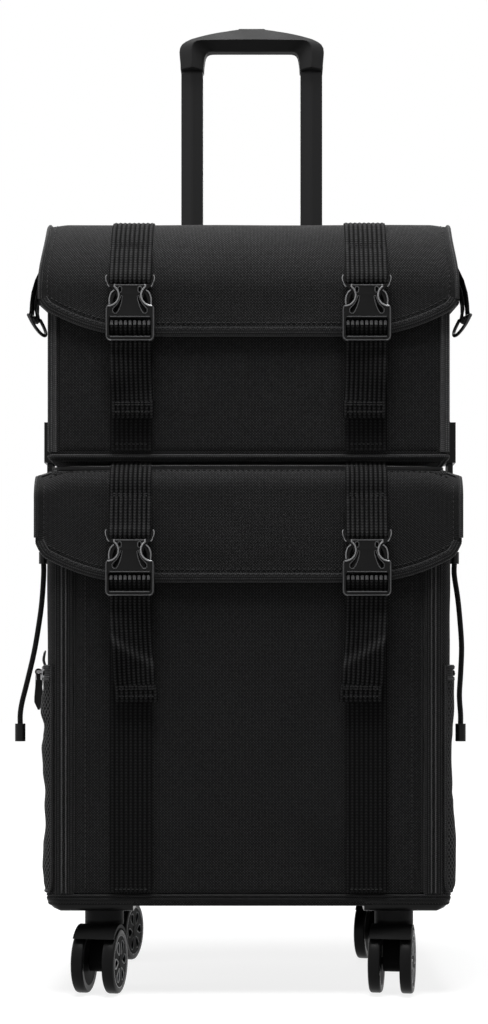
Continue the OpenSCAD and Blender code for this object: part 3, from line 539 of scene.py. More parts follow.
def cloth(rows, out, thickness, name, body, mats, nodes=(), slot="cloth", rim=2, wrap=False):
    """Sheet over rows of points whose outer side looks the way that out(middle) gives."""
    b = Build()
    b.grid(rows, wrap=wrap, out=out)
    return thicken(b.make(name, body, mats, slot, nodes, solid=False), thickness, rim)


def bevel(ob, width, segments, angle=30.0):
    mod = ob.modifiers.new("edges", "BEVEL")
    mod.width = width * MM
    mod.segments = segments
    mod.limit_method = "ANGLE"
    mod.angle_limit = math.radians(angle)


def rounded_edges(node, width, mat, segments=3):
    """Rounds the edges of a carried-over solid and gives it its finish."""
    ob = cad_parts[node]
    ob.data.materials.clear()
    ob.data.materials.append(mat)
    if width:
        bevel(ob, width, segments)


def line(a, b, step):
    a, b = Vector(a), Vector(b)
    n = max(1, int(math.ceil((b - a).length / step)))
    return [a + (b - a) * (i / n) for i in range(n + 1)]


def along(points, step):
    """Resamples a polyline at an even step."""
    out = []
    for a, b in zip(points, points[1:]):
        out += line(a, b, step)[:-1]
    return out + [Vector(points[-1])]


def curve(points, n):
    """Smooth curve through points."""
    p = [Vector(q) for q in points]
    out = []
    for i in range(len(p) - 1):
        a, b, c, d = p[max(i - 1, 0)], p[i], p[i + 1], p[min(i + 2, len(p) - 1)]
        for k in range(n):
            f = k / n
            out.append(0.5 * (2 * b + (c - a) * f + (2 * a - 5 * b + 4 * c - d) * f * f
                              + (3 * b - a - 3 * c + d) * f ** 3))
    return out + [p[-1]]


def plan(half, y0, y1, r, step=7.0, n=6):
    """Rounded rectangle in plan as a closed ring, starting at the middle of the front."""
    pts = [(0, y0), (half - r, y0)]
    for cx, cy, a0 in ((half - r, y0 + r, -90), (half - r, y1 - r, 0),
                       (-half + r, y1 - r, 90), (-half + r, y0 + r, 180)):
        pts += arc(cx, cy, r, a0, a0 + 90, n)
    pts = [V(x, y) for x, y in pts + [(0, y0)]]
    ring = []
    for a, b in zip(pts, pts[1:]):
        if (b - a).length > 1e-6:
            ring += line(a, b, step)[:-1]
    return ring


def inset_rings(ring, half, depth, mid, table):
    """Copies of a ring in plan drawn in towards its middle, for a table of (inset, height)."""
    rows = []
    for inset, z in table:
        k, q = (half - inset) / half, (depth - inset) / depth
        rows.append([V(p.x * k, mid + (p.y - mid) * q, z) for p in ring])
    return rows


def webbing_profile(width, t, ribs=RIBS):
    """Cross-section of ribbed webbing with its outer face on +, as (across, outward)."""
    n = ribs * 4
    top = []
    for i in range(n + 1):
        u = i / n
        edge = min(1.0, min(u, 1 - u) * n / 2)
        groove = (0.5 + 0.5 * math.cos(2 * PI * ribs * u)) * edge
        top.append((width * (u - 0.5), t / 2 - 0.7 * groove - 0.7 * (1 - edge)))
    return top + [(width * (0.5 - k / 6), -t / 2 + (0.3 if k in (0, 6) else 0.0))
                  for k in range(7)]


def rib_marks(profile, width, ribs=RIBS):
    """Texture coordinate across webbing that grows by a whole rib's width each rib."""
    return [(a / width + 0.5) * RIB * ribs for a, _ in profile]


def webbing(b, path, width=WEB_W, t=WEB_T, side=(1, 0, 0), ribs=RIBS, step=3.0):
    prof = webbing_profile(width, t, ribs)
    b.sweep(along([Vector(p) for p in path], step), prof, side,
            across=rib_marks(prof, width, ribs))


def cross_stitches(b, x, y, z, half, mat=0, out=AHEAD, **gauge):
    """Stitches from side to side of a strap."""
    b.stitches(line((x - half, y, z), (x + half, y, z), 3), out, mat, **gauge)


# ---------- cords

CORD_D = 4.6
CORDS = {
    "left": [(-175, -92, 364), (-175, -92, 354), (-176.5, -92, 332), (-179, -93, 312),
             (-183, -94, 288), (-189, -95, 262), (-193, -95, 246), (-194.5, -95, 236),
             (-194.5, -95, 228)],
    "right": [(175, -92, 364), (175, -92, 354), (178, -92, 334), (180, -93, 312),
              (181, -94, 292), (180, -95, 270), (179, -95, 252), (180, -95, 236),
              (180, -95, 228)],
}
for side_name, points in CORDS.items():
    path = curve(points, 4)
    ob = Build().tube(path, CORD_D / 2, 12).make(
        f"drawcord_{side_name}_braid", "lower_case", CORD, "cord", [f"drawcord_{side_name}"])
    rounded_edges(f"cord_end_{side_name}", 1.2, PLASTIC)


# ---------- lower case

def case_ring():
    """Wall line of the lower case from one edge of the door round the back to the other."""
    lip = [(DOOR_SIDE, FRONT + 5), (DOOR_SIDE, FRONT + 0.8), (DOOR_SIDE + 0.8, FRONT)]
    pts = [(-x, y) for x, y in lip]
    near, far = FRONT + CORNER, BACK - CORNER
    for s, y, a0 in ((-1, near, 270), (-1, far, 180), (1, far, 90), (1, near, 0)):
        pts += arc(s * (HALF_W - CORNER), y, CORNER, a0, a0 - 90, 7)
    return along([V(x, y) for x, y in pts + lip[::-1]], 7.0)


def case_shell():
    ring = case_ring()
    low = FLOOR_Z + 3
    rows = []
    for z in [low - 4.5, low - 3] + steps(low, 437, 42) + [440.5]:
        high = hump((z - FLOOR_Z) / (LID_Z - FLOOR_Z))
        row = []
        for p, t in zip(ring, tangents(ring)):
            out = V(-t.y, t.x)
            if abs(out.x) > 0.97:
                d = (1.3 * hump((p.y + 104) / 216) + soft(p.x, p.y, z, 70, 1.0)
                     + soft(p.x, p.y, z, 26, 0.35)) * high
            elif out.y > 0.97:
                d = (1.8 * math.cos(PI * p.x / 340) + soft(p.x, p.y, z, 80, 1.2)) * high
            else:
                d = soft(p.x, p.y, z, 40, 0.25)
            row.append(p + out * d + V(0, 0, z))
        rows.append(row)

    def outward(c):
        return V(c.x, c.y - MID_Y) if abs(c.x) > 150 or c.y > 0 else AHEAD
    ob = cloth(rows, outward, 5.5, "case_walls", "lower_case", CLOTH_SET,
               ["back_panel", "side_panels", "front_borders"])


case_shell()

GUARD_X, GUARD_Y = 97.0, 43.0
FLOOR_RINGS = [(14, 75.0), (4, 75.2), (1, 75.8), (0.2, 77.2), (0.2, 82.4), (1.2, 83.8),
               (4, 84.4), (14, 84.6)]
BAND_RINGS = [(2.0, 85.4), (-0.4, 85.2), (-1.0, 84.5), (-0.6, 83.7), (0.1, 83.2), (-0.5, 82.6),
              (-0.8, 81.4), (-0.1, 79.4), (1.6, 77.4), (4.2, 75.9), (7.6, 75.0), (12.0, 74.8)]
GUARD_RINGS = [(0.4, 82.6), (-0.4, 81.6), (-0.2, 79.4), (0.9, 76.4), (3.0, 73.2), (5.6, 71.4),
               (8.0, 70.9)]


def case_base():
    """Covered bottom board with a taped band and corner guards round it."""
    ring = plan(HALF_W, FRONT, BACK, CORNER)
    b = Build()
    b.loft(inset_rings(ring, HALF_W, HALF_D, MID_Y, FLOOR_RINGS), ends=(0, 1), axes=(0, 1))
    b.make("case_floor", "lower_case", [CLOTH, LINING], "cloth", ["base_board"])
    cloth(inset_rings(ring, HALF_W, HALF_D, MID_Y, BAND_RINGS), lambda c: V(c.x, c.y - MID_Y), 1.2,
          "case_bottom_band", "lower_case", [BOTTOM, BOTTOM], ["base_welt"], "trim", 1, wrap=True)
    b = Build()
    edge = [(GUARD_X, HALF_D), (GUARD_X + 22, HALF_D)] \
        + arc(HALF_W - CORNER, HALF_D - CORNER, CORNER, 90, 0, 9) \
        + [(HALF_W, GUARD_Y + 23), (HALF_W, GUARD_Y)]
    ways = tangents([V(x, y) for x, y in edge])
    n = len(edge)
    for sx in SIDES:
        for sy in SIDES:
            base = b.grid([[V(sx * (x + t.y * inset * 1.7), MID_Y + sy * (y - t.x * inset * 0.7), z)
                            for (x, y), t in zip(edge, ways)] for inset, z in GUARD_RINGS])
            inner = len(b.v)
            b.v += [V(sx * GUARD_X, MID_Y + sy * GUARD_Y, z) for z in (71.0, 82.6)]
            last = base + (len(GUARD_RINGS) - 1) * n
            for row, middle in ((last, inner), (base, inner + 1)):
                b.cap([row + i for i in range(n)] + [middle], axes=(0, 1))
            for col in (0, n - 1):
                b.cap([base + j * n + col for j in range(len(GUARD_RINGS))] + [inner, inner + 1])
    b.make("corner_guard_mouldings", "lower_case", PLASTIC, "black_plastic", ["corner_guards"],
           sharp=40)


case_base()


def spread(n, a, c):
    """Numbers from a to c, closer together at both ends."""
    return [a + (c - a) * (u - 0.09 * math.sin(2 * PI * u)) for u in steps(0, 1, n - 1)]


def pad_rows(xs, zs, half, z0, z1, roll, y, rise, margin, reach, swell, lumps):
    """Padded face that rolls over at its edges; lumps are (seed, size, amount)."""
    rows = []
    for z in zs:
        row = []
        for x in xs:
            d = min(half - abs(x), z - z0, z1 - z)
            e = 1 - min(1.0, d / roll)
            bulge = swell + sum(soft(x, seed, z, size, much) for seed, size, much in lumps)
            row.append(V(x, y - rise * math.sqrt(max(0.0, 1 - e * e))
                         - bulge * smooth((d - margin) / reach), z))
        rows.append(row)
    return rows


def door():
    """Padded front door whose face rolls over at its edges."""
    xs, zs = spread(73, -DOOR_HALF, DOOR_HALF), spread(81, DOOR_Z0, DOOR_Z1)
    rows = pad_rows(xs, zs, DOOR_HALF, DOOR_Z0 - 4, DOOR_Z1, roll=8.0, y=-112.2, rise=3.8,
                    margin=10, reach=60, swell=0.9, lumps=((3, 90, 0.9), (9, 34, 0.25)))
    b = Build()
    b.grid(rows, out=lambda c: AHEAD)
    b.grid([[V(x, DOOR_BACK, z) for x in xs] for z in zs], 1, out=lambda c: -AHEAD)
    for edge in (rows[0], rows[-1], [r[0] for r in rows], [r[-1] for r in rows]):
        b.grid([edge, [V(p.x, DOOR_BACK, p.z) for p in edge]])
    ob = b.make("door_pad", "front_door", [PANEL, LINING], "cloth", ["door_panel"])
    piping, sewing = Build(), Build()
    for s in SIDES:
        x = s * (DOOR_HALF - 0.6)
        piping.tube(line((x, -112.6, DOOR_Z0 + 1), (x, -112.6, DOOR_Z1 - 2), 9), 1.5)
        x = s * (DOOR_HALF - 9.5)
        sewing.stitches(line((x, -116.5, DOOR_Z0 + 4), (x, -116.5, DOOR_Z1 - 6), 6), AHEAD)
    piping.make("door_edge_piping", "front_door", TRIM, "trim")
    sewing.make("door_stitching", "front_door", THREAD, "trim")


door()


def zip_teeth(start, stop, pitch):
    """Places of a zip's teeth along it, with the side that each leans to."""
    place, lean = start, -1
    while place < stop:
        yield place, lean
        place, lean = place + pitch, -lean


ZIP_PROFILE = [(0.4, 0.0), (0.6, 0.9), (1.5, 1.3), (2.5, 0.7), (5.2, 0.4), (5.7, 1.0), (6.3, 1.4),
               (6.9, 1.0), (7.3, 0.3), (8.0, 0.2), (8.7, 0.3), (9.1, 1.0), (9.7, 1.4), (10.3, 1.0),
               (10.9, 0.6), (13.4, 0.7), (14.6, 0.9), (15.2, 0.2), (15.0, -0.6), (0.6, -0.6)]
SLIDER = [(-3.2, -5), (-1.8, -6.4), (1.8, -6.4), (3.2, -5), (3.6, 0), (2.6, 5.6), (-2.6, 5.6),
          (-3.6, 0)]
SLIDER_Z, TAPE_TOP = 386.0, 436.0


def door_zips():
    """Zip tapes beside the door with their coils, and sliders under the flap."""
    z0, z1, middle = DOOR_Z0 - 0.5, TAPE_TOP, DOOR_SIDE + 8.0
    tapes, coils, sliders = Build(), Build(), Build()
    for s in SIDES:
        x = s * DOOR_SIDE
        tapes.sweep(line((x, FRONT, z0), (x, FRONT, z1), 9), [(s * a, h) for a, h in ZIP_PROFILE],
                    (1, 0, 0))
        # two raised lines in the bright zip material: painted highlight along each zip
        for a in (6.3, 9.7):
            x = s * (DOOR_SIDE + a)
            tapes.tube(line((x, FRONT - 1.2, z0 + 1), (x, FRONT - 1.2, z1 - 1), 9), 0.62, 6, 1)
        x = s * middle
        sliders.plate([SLIDER], 1.5, 0.5, lambda u, v, w: (x + u, FRONT - 1.0 - w, SLIDER_Z + v))
    for z, lean in zip_teeth(z0 + 3, z1 - 6, 1.7):
        for s in SIDES:
            x = s * (middle + 0.5 * lean)
            coils.tube([(x - 1.0, FRONT - 0.3, z), (x, FRONT - 0.8, z), (x + 1.0, FRONT - 0.3, z)],
                       0.5, 5)
    tapes.make("door_zip_tapes", "lower_case", [TAPE, ZIP_HIGHLIGHT], "trim", ["door_zips"])
    coils.make("door_zip_coils", "lower_case", PLASTIC, "black_plastic")
    sliders.make("door_zip_sliders", "lower_case", STEEL, "dark_steel")


door_zips()


# ---------- lower flap and lid


def on_low_flap(ob):
    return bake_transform(ob)


def low_edge(x):
    """Lower edge of the lower flap."""
    t = max(0.0, (abs(x) / LID_HALF - 0.54) / 0.46)
    return LOW_EDGE + 25 * t * t + 9 * max(0.0, (abs(x) - 169) / 9) ** 2


def lid_droop(x):
    return 9.0 * smooth((abs(x) - 148) / 36) + 1.2 * smooth((abs(x) - 60) / 100)


def low_flap_point(x, v):
    """Point of the lower flap's outer face; v runs from the lid over the fold to the edge."""
    if v <= 1:
        a = (v * (LOW_FLAT + PI / 2 * LOW_FOLD) - LOW_FLAT) / LOW_FOLD
        if a < 0:
            y, z = LOW_FACE + LOW_FOLD * (1 - a), TOP_Z
        else:
            y = LOW_FACE + LOW_FOLD * (1 - math.sin(a))
            z = TOP_Z - LOW_FOLD * (1 - math.cos(a))
    else:
        y, z = LOW_FACE, LOW_FOLD_Z + (low_edge(x) - LOW_FOLD_Z) * (v - 1)
    inner = smooth((LID_HALF - abs(x)) / 40)
    w = smooth((TOP_Z - z) / 30) * smooth((z - low_edge(x)) / 26)
    y -= (soft(x, 1, z, 80, 1.3) + soft(x, 5, z, 30, 0.35) - 0.3) * w * inner
    return V(x, y, z - lid_droop(x) * smooth((z - 380) / 60))


def flap_columns(half, n):
    return [half * (0.75 * u + 0.25 * math.sin(u * PI / 2)) for u in steps(-1, 1, n)]


def flap_binding(b, edge, ways, width=6.6, thick=3.6):
    """Tape folded over the edge of a flap; ways gives the directions into the flap and out."""
    prof = [(width, 0.1), (width - 0.3, 0.9), (0.4, 1.1), (-0.9, 0.5), (-1.3, -thick / 2),
            (-0.9, -thick - 0.5), (0.4, -thick - 1.0), (width - 0.3, -thick - 0.8), (width, -thick)]
    rows = []
    for p, t in zip(edge, tangents(edge)):
        up, w = ways(p, t)
        rows.append([p + up * a + w * h for a, h in prof])
    b.loft(rows)


def front_ways(p, t):
    up = V(-t.z, 0, t.x) if t.x > 0 else V(t.z, 0, -t.x)
    return up.normalized(), AHEAD


def side_ways(p, t):
    return V(0, -t.z, t.y).normalized(), V(math.copysign(1, p.x), 0)


def hem_stitches(b, point, edge, columns, fold_z, v0, gaps):
    """Rows of stitches above the lower edge of a flap; columns are (across, x)."""
    for gap in gaps:
        row = []
        for u, x in columns:
            z, slope = edge(x), edge(x + 0.5) - edge(x - 0.5)
            v = v0 + (fold_z - z - gap * math.sqrt(1 + slope * slope)) / (fold_z - z)
            row.append(point(u, v) + V(0, -1.25 if gap < 6 else -0.2))
        b.stitches(row, AHEAD)


def low_flap():
    vs = steps(0, 1, 12) + steps(1, 2, 22, 1)
    rows = [[low_flap_point(x, v) for x in flap_columns(LID_HALF, 90)] for v in vs]
    ob = cloth(rows, lambda c: V(0, -1, 0.6), 3.6, "lower_flap_cloth", None, CLOTH_SET,
               ["lower_flap_panel"])
    on_low_flap(ob)
    b = Build()
    flap_binding(b, [low_flap_point(x, 2.0) for x in flap_columns(LID_HALF - 0.8, 110)], front_ways)
    for s in SIDES:
        vs = [0.45 + 0.055 * k for k in range(10)] + steps(1, 2, 14)[:-1]
        b.tube([low_flap_point(s * (LID_HALF - 0.4), v) for v in vs], 1.9)
    on_low_flap(b.make("lower_flap_binding", None, TRIM, "trim"))
    b = Build()
    hem_stitches(b, low_flap_point, low_edge, [(x, x) for x in flap_columns(LID_HALF - 6, 120)],
                 LOW_FOLD_Z, 1, (5.0, 9.6))
    for s in SIDES:
        b.stitches([low_flap_point(s * (LID_HALF - 7), v) + V(0, -0.2)
                    for v in [0.75, 0.9] + steps(1, 2, 14)[:-2]], (0, -1, 0.1))
    b.stitches([low_flap_point(x, 0.6) + V(0, -0.2, 0.15) for x in flap_columns(LID_HALF - 10, 80)],
               (0, -0.8, 0.6), pitch=4.6, length=3.2, r=0.62)
    on_low_flap(b.make("lower_flap_stitching", None, THREAD, "trim"))
    b = Build()
    # the piping takes the bright band material, a painted highlight
    b.tube([low_flap_point(x, 0.46) + V(0, -0.5, 0.3) for x in flap_columns(LID_HALF - 4, 90)], 1.0)
    on_low_flap(b.make("lower_flap_top_piping", None, BAND_HIGHLIGHT, "trim"))


low_flap()


def skirt_edge(y):
    """Lower edge of the lid's side skirts."""
    return SKIRT_Z + 46 * smooth((y - 78) / 36)


def lid():
    """Lid with soft drooping ends, side skirts and a turned-over back edge."""
    rows = []
    for y in [LOW_FACE + LOW_FOLD + 5.5, -90] + steps(-70, 90, 14) + [97, 104, 110, 116, 120,
                                                                       122.6, 124]:
        back = smooth((y - 100) / 24)
        half = LID_HALF - 1.2 * back
        top = TOP_Z - lid_droop(half - 10) - 6 - 4 * back
        ends = []
        for s in SIDES:
            end = [V(s * (half + soft(s * 50, y, z, 60, 0.7)), y, z)
                   for z in steps(skirt_edge(y), top, 8)]
            for k in range(1, 5):
                c, d = polar(1.0, 22.5 * k)
                end.append(V(s * (half - 10 + 10 * c), y, top + 6 * d - 0.5 * back * k))
            ends.append(end)
        fall = 9 * smooth((y - 112) / 14) ** 2
        middle = [V(x, y, TOP_Z - lid_droop(x) - fall) for x in steps(14 - half, half - 14, 40)]
        rows.append(ends[0] + middle + ends[1][::-1])
    ob = cloth(rows, lambda c: V(c.x * (abs(c.x) > 170), 0, 100.0), 3.6, "lid_cloth", "lower_case",
               CLOTH_SET, ["lid_top", "lid_skirts"])
    b = Build()
    b.loft(inset_rings(plan(HALF_W - 6, FRONT + 1, BACK - 6, 8), HALF_W - 6, 117.0, 2,
                       ((20, 440.4), (3, 440.2), (0, 441.5), (0, 444.0))), axes=(0, 1))
    b.make("lid_lining_board", "lower_case", LINING, "cloth")
    b = Build()
    for s in SIDES:
        edge = [V(s * (LID_HALF - 0.2), y, skirt_edge(y) + 0.6) for y in steps(-116, 110, 39)]
        flap_binding(b, edge, side_ways, width=6.0, thick=3.4)
        b.stitches([p + V(s * 1.2, 0, 4.6) for p in edge], (s, 0, 0), 1)
    b.make("lid_skirt_binding", "lower_case", [TRIM, THREAD], "trim")


lid()


# ---------- side pockets

POCKET_Y1, POCKET_Z0, POCKET_Z1, POCKET_ZIP = 106.0, 86.0, 267.0, 271.0
# Swell of each pocket's front corner in the photo, as (height, depth)
POCKET_SWELL = {
    -1: [(84, 0.2), (96, 2.6), (108, 3.9), (125, 3.0), (143, 0.8), (159, 2.0), (172, 0.8),
         (190, 3.0), (208, 4.9), (218, 3.2), (226, 2.0), (238, 5.2), (250, 4.6), (258, 3.0),
         (268, 3.2)],
    1: [(84, 0.6), (94, 4.2), (110, 4.8), (128, 4.6), (145, 4.0), (162, 2.8), (171, 1.0),
        (195, 0.2), (210, 0.8), (222, 2.0), (240, 3.6), (256, 2.8), (268, 3.0)],
}
POCKET_TAPE = [(-7, -0.4), (-7, 2.8), (-5.6, 4.0), (-3.4, 3.6), (-2.6, 2.4), (2.6, 2.4),
               (3.4, 3.6), (5.6, 4.0), (7, 2.8), (7, -0.4)]


def level(table, z):
    """Value of a table of (height, value) at a height."""
    for (a, p), (c, q) in zip(table, table[1:]):
        if z <= c:
            return p + (q - p) * smooth((z - a) / (c - a))
    return table[-1][1]


def pocket_line():
    """Wall under a right-hand pocket from the front corner back, as (x, y, outward x, y)."""
    y0 = FRONT + CORNER
    turned = [polar(1.0, q) for q in range(-56, 1, 8)]
    pts = [(HALF_W - CORNER + CORNER * c, y0 + CORNER * d, c, d) for c, d in turned]
    return pts + [(HALF_W, y, 1.0, 0.0) for y in steps(y0, POCKET_Y1, 46, 1)]


def pockets():
    wall = pocket_line()
    every = range(len(wall))
    reach = [0.0]
    for p, q in zip(wall, wall[1:]):
        reach.append(reach[-1] + math.hypot(q[0] - p[0], q[1] - p[1]))
    for s, side_name in NAMED_SIDES:
        def out(i, z, d):
            x, y, c, e = wall[i]
            return V(s * (x + c * d), y + e * d, z)

        def swell(i, z, w):
            y = wall[i][1]
            near = 1 - smooth((y + 88) / 60)
            belly = 5.6 * (1 - abs(2 * w - 0.9) ** 2.4 * 0.7)
            belly += 0.9 * math.sin(y / 6.5 + 0.6) * smooth((w - 0.6) / 0.4)
            d = near * level(POCKET_SWELL[s], z) + (1 - near) * belly * smooth(7 * w)
            d += soft(s * 9, y, z, 30, 1.2) * smooth(5 * w) * smooth(6 * (1 - w))
            return max(0.0, d) * smooth(reach[i] / 15.0) * smooth((reach[-1] - reach[i]) / 14.0)
        rows = []
        for w in steps(0, 1, 60):
            z = POCKET_Z0 + (POCKET_Z1 - POCKET_Z0) * w
            rows.append([out(i, z, 1.2 + swell(i, z, w)) for i in every])
        ob = cloth(rows, lambda c: V(c.x, 0), 0.9, f"net_pocket_{side_name}", "lower_case",
                   [NET, NET, TRIM], ["mesh_pockets"] if s < 0 else (), "mesh")
        b = Build()
        b.tube([out(0, z, 1.4) for z in range(278, 88, -6)]
               + [out(i, POCKET_Z0 + 1.5, 1.4) for i in every[1:-1]]
               + [out(every[-1], z, 1.4) for z in range(88, 279, 6)], 1.5)
        b.sweep([out(i, POCKET_ZIP, 0.2) for i in every], [(a, h * s) for a, h in POCKET_TAPE],
                (0, 0, 1))
        b.make(f"pocket_edging_{side_name}", "lower_case", TRIM, "trim",
               ["pocket_zips"] if s < 0 else ())
        b = Build()
        x = s * (HALF_W + 3.2)
        for y, lean in zip_teeth(FRONT + CORNER, POCKET_Y1, 1.8):
            z = POCKET_ZIP + 0.7 * lean
            b.tube([(x, y, z - 1.5), (x + s * 0.8, y, z), (x, y, z + 1.5)], 0.62, 5)
        b.make(f"pocket_zip_coil_{side_name}", "lower_case", PLASTIC, "black_plastic")


pockets()


# ---------- upper bag

BAG_DEEP = 98.7
BAG_FOOT = ((-0.7, 453.0), (-2.8, 450.8), (-6.2, 449.4))


def fold_top(y):
    """Height of the upper flap's outer face at a distance from the front."""
    d = min(1.0, max(0.0, UP_FOLD_Y - y) / UP_FOLD)
    return UP_FOLD_Z + UP_DROP * (1 - d ** FOLD_POWER) ** (1 / FOLD_POWER)


def bag_walls():
    ring = plan(BAG_HALF, BAG_FRONT, BAG_BACK, BAG_CORNER)
    count, z0 = 34, BAG_Z + 7
    rows = []
    for j in range(-len(BAG_FOOT), count + 1):
        row = []
        for p, t in zip(ring, tangents(ring, True)):
            out = V(t.y, -t.x)
            top = min(BAG_RIM, fold_top(p.y - 4.2) - 5.5)
            d, z = 0.0, z0 + (top - z0) * max(0, j) / count
            if j < 0:
                d, z = BAG_FOOT[-1 - j]
            elif abs(out.x) > 0.97 or out.y > 0.97:
                d = (1.0 + soft(p.x, p.y, z, 70, 1.2)) * hump((z - z0) / (BAG_RIM - z0))
            row.append(p + out * d + V(0, 0, z))
        rows.append(row)

    def outward(c):
        y = c.y - SIDE_Y
        return V(math.copysign((c.x / BAG_HALF) ** 8, c.x), math.copysign((y / BAG_DEEP) ** 8, y))
    ob = cloth(rows, outward, 5.5, "bag_walls", "upper_bag", PANEL_SET,
               ["bag_front", "bag_back", "bag_sides"], wrap=True)
    b = Build()
    b.loft(inset_rings(plan(BAG_HALF - 6, BAG_FRONT + 6, BAG_BACK - 6, 6), BAG_HALF - 6,
                       BAG_DEEP - 6, SIDE_Y, ((16, 448.6), (2, 448.8), (0, 450), (0, 454),
                                              (2, 455.4), (16, 455.8))), ends=(0, 1), axes=(0, 1))
    b.make("bag_floor", "upper_bag", [CLOTH, LINING], "cloth", ["bag_base"])
    b = Build()
    ring = plan(BAG_HALF + 0.2, BAG_FRONT - 0.2, BAG_BACK + 0.2, BAG_CORNER, 6.0, 8)
    b.tube([(p.x, p.y, 453.2) for p in ring], 1.7, 10, closed=True)
    for s in SIDES:
        x, y = s * (BAG_HALF - 1.2), BAG_BACK - 1.2
        b.tube(line((x, y, 456), (x, y, 636), 8), 1.9)
    b.make("bag_piping", "upper_bag", TRIM, "trim", ["bag_welt"])


bag_walls()


def bag_front_pad():
    """Padded front of the bag, rolled into a piped seam between the two edge bands."""
    half, z0, z1 = 160.4, 456.4, 601.0
    rows = pad_rows(spread(73, -half, half), spread(45, z0, z1), half, z0, z1, roll=7.0, y=-110.8,
                    rise=2.0, margin=5, reach=40, swell=0.5, lumps=((4, 70, 0.5), (8, 26, 0.2)))
    cloth(rows, lambda c: AHEAD, 1.6, "bag_front_pad", "upper_bag", PANEL_SET)
    b = Build()
    tape = [(-2.3, 0.3), (-1.6, 0.8), (1.6, 0.8), (2.3, 0.3), (2.3, -0.4), (-2.3, -0.4)]
    low, high = 457, 600
    for s in SIDES:
        for x, r, y in ((162.3, 1.3, -112.2), (168.2, 0.9, BAG_FRONT)):
            b.tube(line((s * x, y, low), (s * x, y, high), 8), r)
        x = s * 166.0
        b.sweep(line((x, BAG_FRONT, low), (x, BAG_FRONT, high), 6), tape, (1, 0, 0))
    # the bright band material paints the highlight on this piping and tape
    b.make("bag_front_piping", "upper_bag", BAND_HIGHLIGHT, "trim")


bag_front_pad()


# ---------- upper flap

def up_edge(x):
    """Lower edge of the upper flap."""
    t = max(0.0, (abs(x) / RETURN - 0.52) / 0.48)
    return UP_EDGE + 25 * t * t + 5 * max(0.0, (abs(x) - 168) / 7.6) ** 2


def up_half(z):
    """Half the width of the upper flap at a height."""
    return RETURN - 4.6 * smooth((z - 600) / 46) - 0.4


def return_edge(y):
    """Lower edge of the flap's side returns."""
    return 580.5 + 17 * (y + 117.6) / 190 + 40 * smooth((y - 66) / 18)


def up_profile(v, x):
    """Side of the upper flap: v 0..1 along the top, 1..2 round the fold, 2..3 down the front."""
    if v <= 1:
        return BAG_BACK + (UP_FOLD_Y - BAG_BACK) * v, BAG_TOP
    if v <= 2:
        a = PI / 2 * (v - 1)
        return (UP_FOLD_Y - UP_FOLD * math.sin(a) ** (2 / FOLD_POWER),
                UP_FOLD_Z + UP_DROP * max(0.0, math.cos(a)) ** (2 / FOLD_POWER))
    return UP_FACE, UP_FOLD_Z + (up_edge(x) - UP_FOLD_Z) * (v - 2)


def up_point(u, v):
    """Point of the upper flap's outer face; u runs from -1 to 1 across."""
    y, z = up_profile(v, u * RETURN)
    x = u * up_half(z)
    inner = smooth((1 - abs(u)) / 0.22)
    if v < 1:
        z += 1.6 * inner * math.sin(PI * v) + soft(x, y, 5, 70, 1.0) * inner * smooth(v / 0.15)
    else:
        w = smooth((3 - v) / 0.5) * inner
        y -= (soft(x, 2, z, 75, 1.4) + soft(x, 7, z, 28, 0.3) - 0.4) * w
    z -= 1.8 * smooth((abs(u) - 0.9) / 0.1) * (v < 2)
    return V(x, y, z)


def unit_columns(half, n):
    return [c / 100.0 for c in flap_columns(half, n)]


def upper_flap():
    rows = [[up_point(u, v) for u in unit_columns(100.0, 88)] for v in steps(0, 3, 48)]
    ob = cloth(rows, lambda c: V(0, -1 if c.y < -60 else 0, 1 if c.z > 612 else 0), 3.8,
               "upper_flap_cloth", "upper_flap", CLOTH_SET, ["upper_flap_panel"])
    b = Build()
    ys = [UP_FACE + 0.2, UP_FACE + 0.8, UP_FACE + 2, -113, -109, -104, -98, -91, -84] \
        + steps(-78, 80, 22) + [84.6]
    for s in SIDES:
        rows = []
        for f in steps(0, 1, 12):
            row = []
            for y in ys:
                top = fold_top(y) - 1.8
                z = top + (min(return_edge(y), top - 2) - top) * f
                x = up_half(z) + 0.2 + soft(s * 30, y, z, 55, 0.9) * math.sin(PI * f)
                row.append(V(s * x, y, z))
            rows.append(row)
        b.grid(rows, out=lambda c: V(c.x, 0))
    thicken(b.make("upper_flap_returns", "upper_flap", CLOTH_SET, "cloth", solid=False), 3.4)
    b = Build()
    for s in SIDES:
        vs = steps(0, 1, 10)[:-1] + steps(1, 2, 12)[:-1] + steps(2, 3, 8)
        b.tube([up_point(s, v) + V(-s * 0.4, 0) for v in vs], 1.9)
        low = [V(s * (RETURN - 0.2), y, return_edge(y)) for y in steps(-116.5, 81.5, 25)]
        flap_binding(b, low, side_ways, width=5.6, thick=3.4)
    flap_binding(b, [up_point(u, 3.0) for u in unit_columns(99.6, 110)], front_ways, thick=3.8)
    b.make("upper_flap_binding", "upper_flap", TRIM, "trim")
    b = Build()
    hem_stitches(b, up_point, up_edge, [(u, u * RETURN) for u in unit_columns(96.5, 120)],
                 UP_FOLD_Z, 2, (5.0, 9.8))
    for s in SIDES:
        vs = steps(1, 2, 12)[:-1] + steps(2, 3, 10)[:-2]
        b.stitches([up_point(s * 0.962, v) + V(0, -0.25, 0.1) for v in vs],
                   lambda p: V(0, -1, 0.2 if p.z < 610 else 1))
    b.make("upper_flap_stitching", "upper_flap", THREAD, "trim")


upper_flap()


# ---------- webbing

TURN_R = 2.9
TAIL_RISE = [(4.4, -64), (4.2, -60), (2.6, -53), (-0.6, -45), (-2.4, -39.6)]
TAIL_FALL = [(-7.4, -39.6), (-4.4, -43.9), (-4.0, -50)]


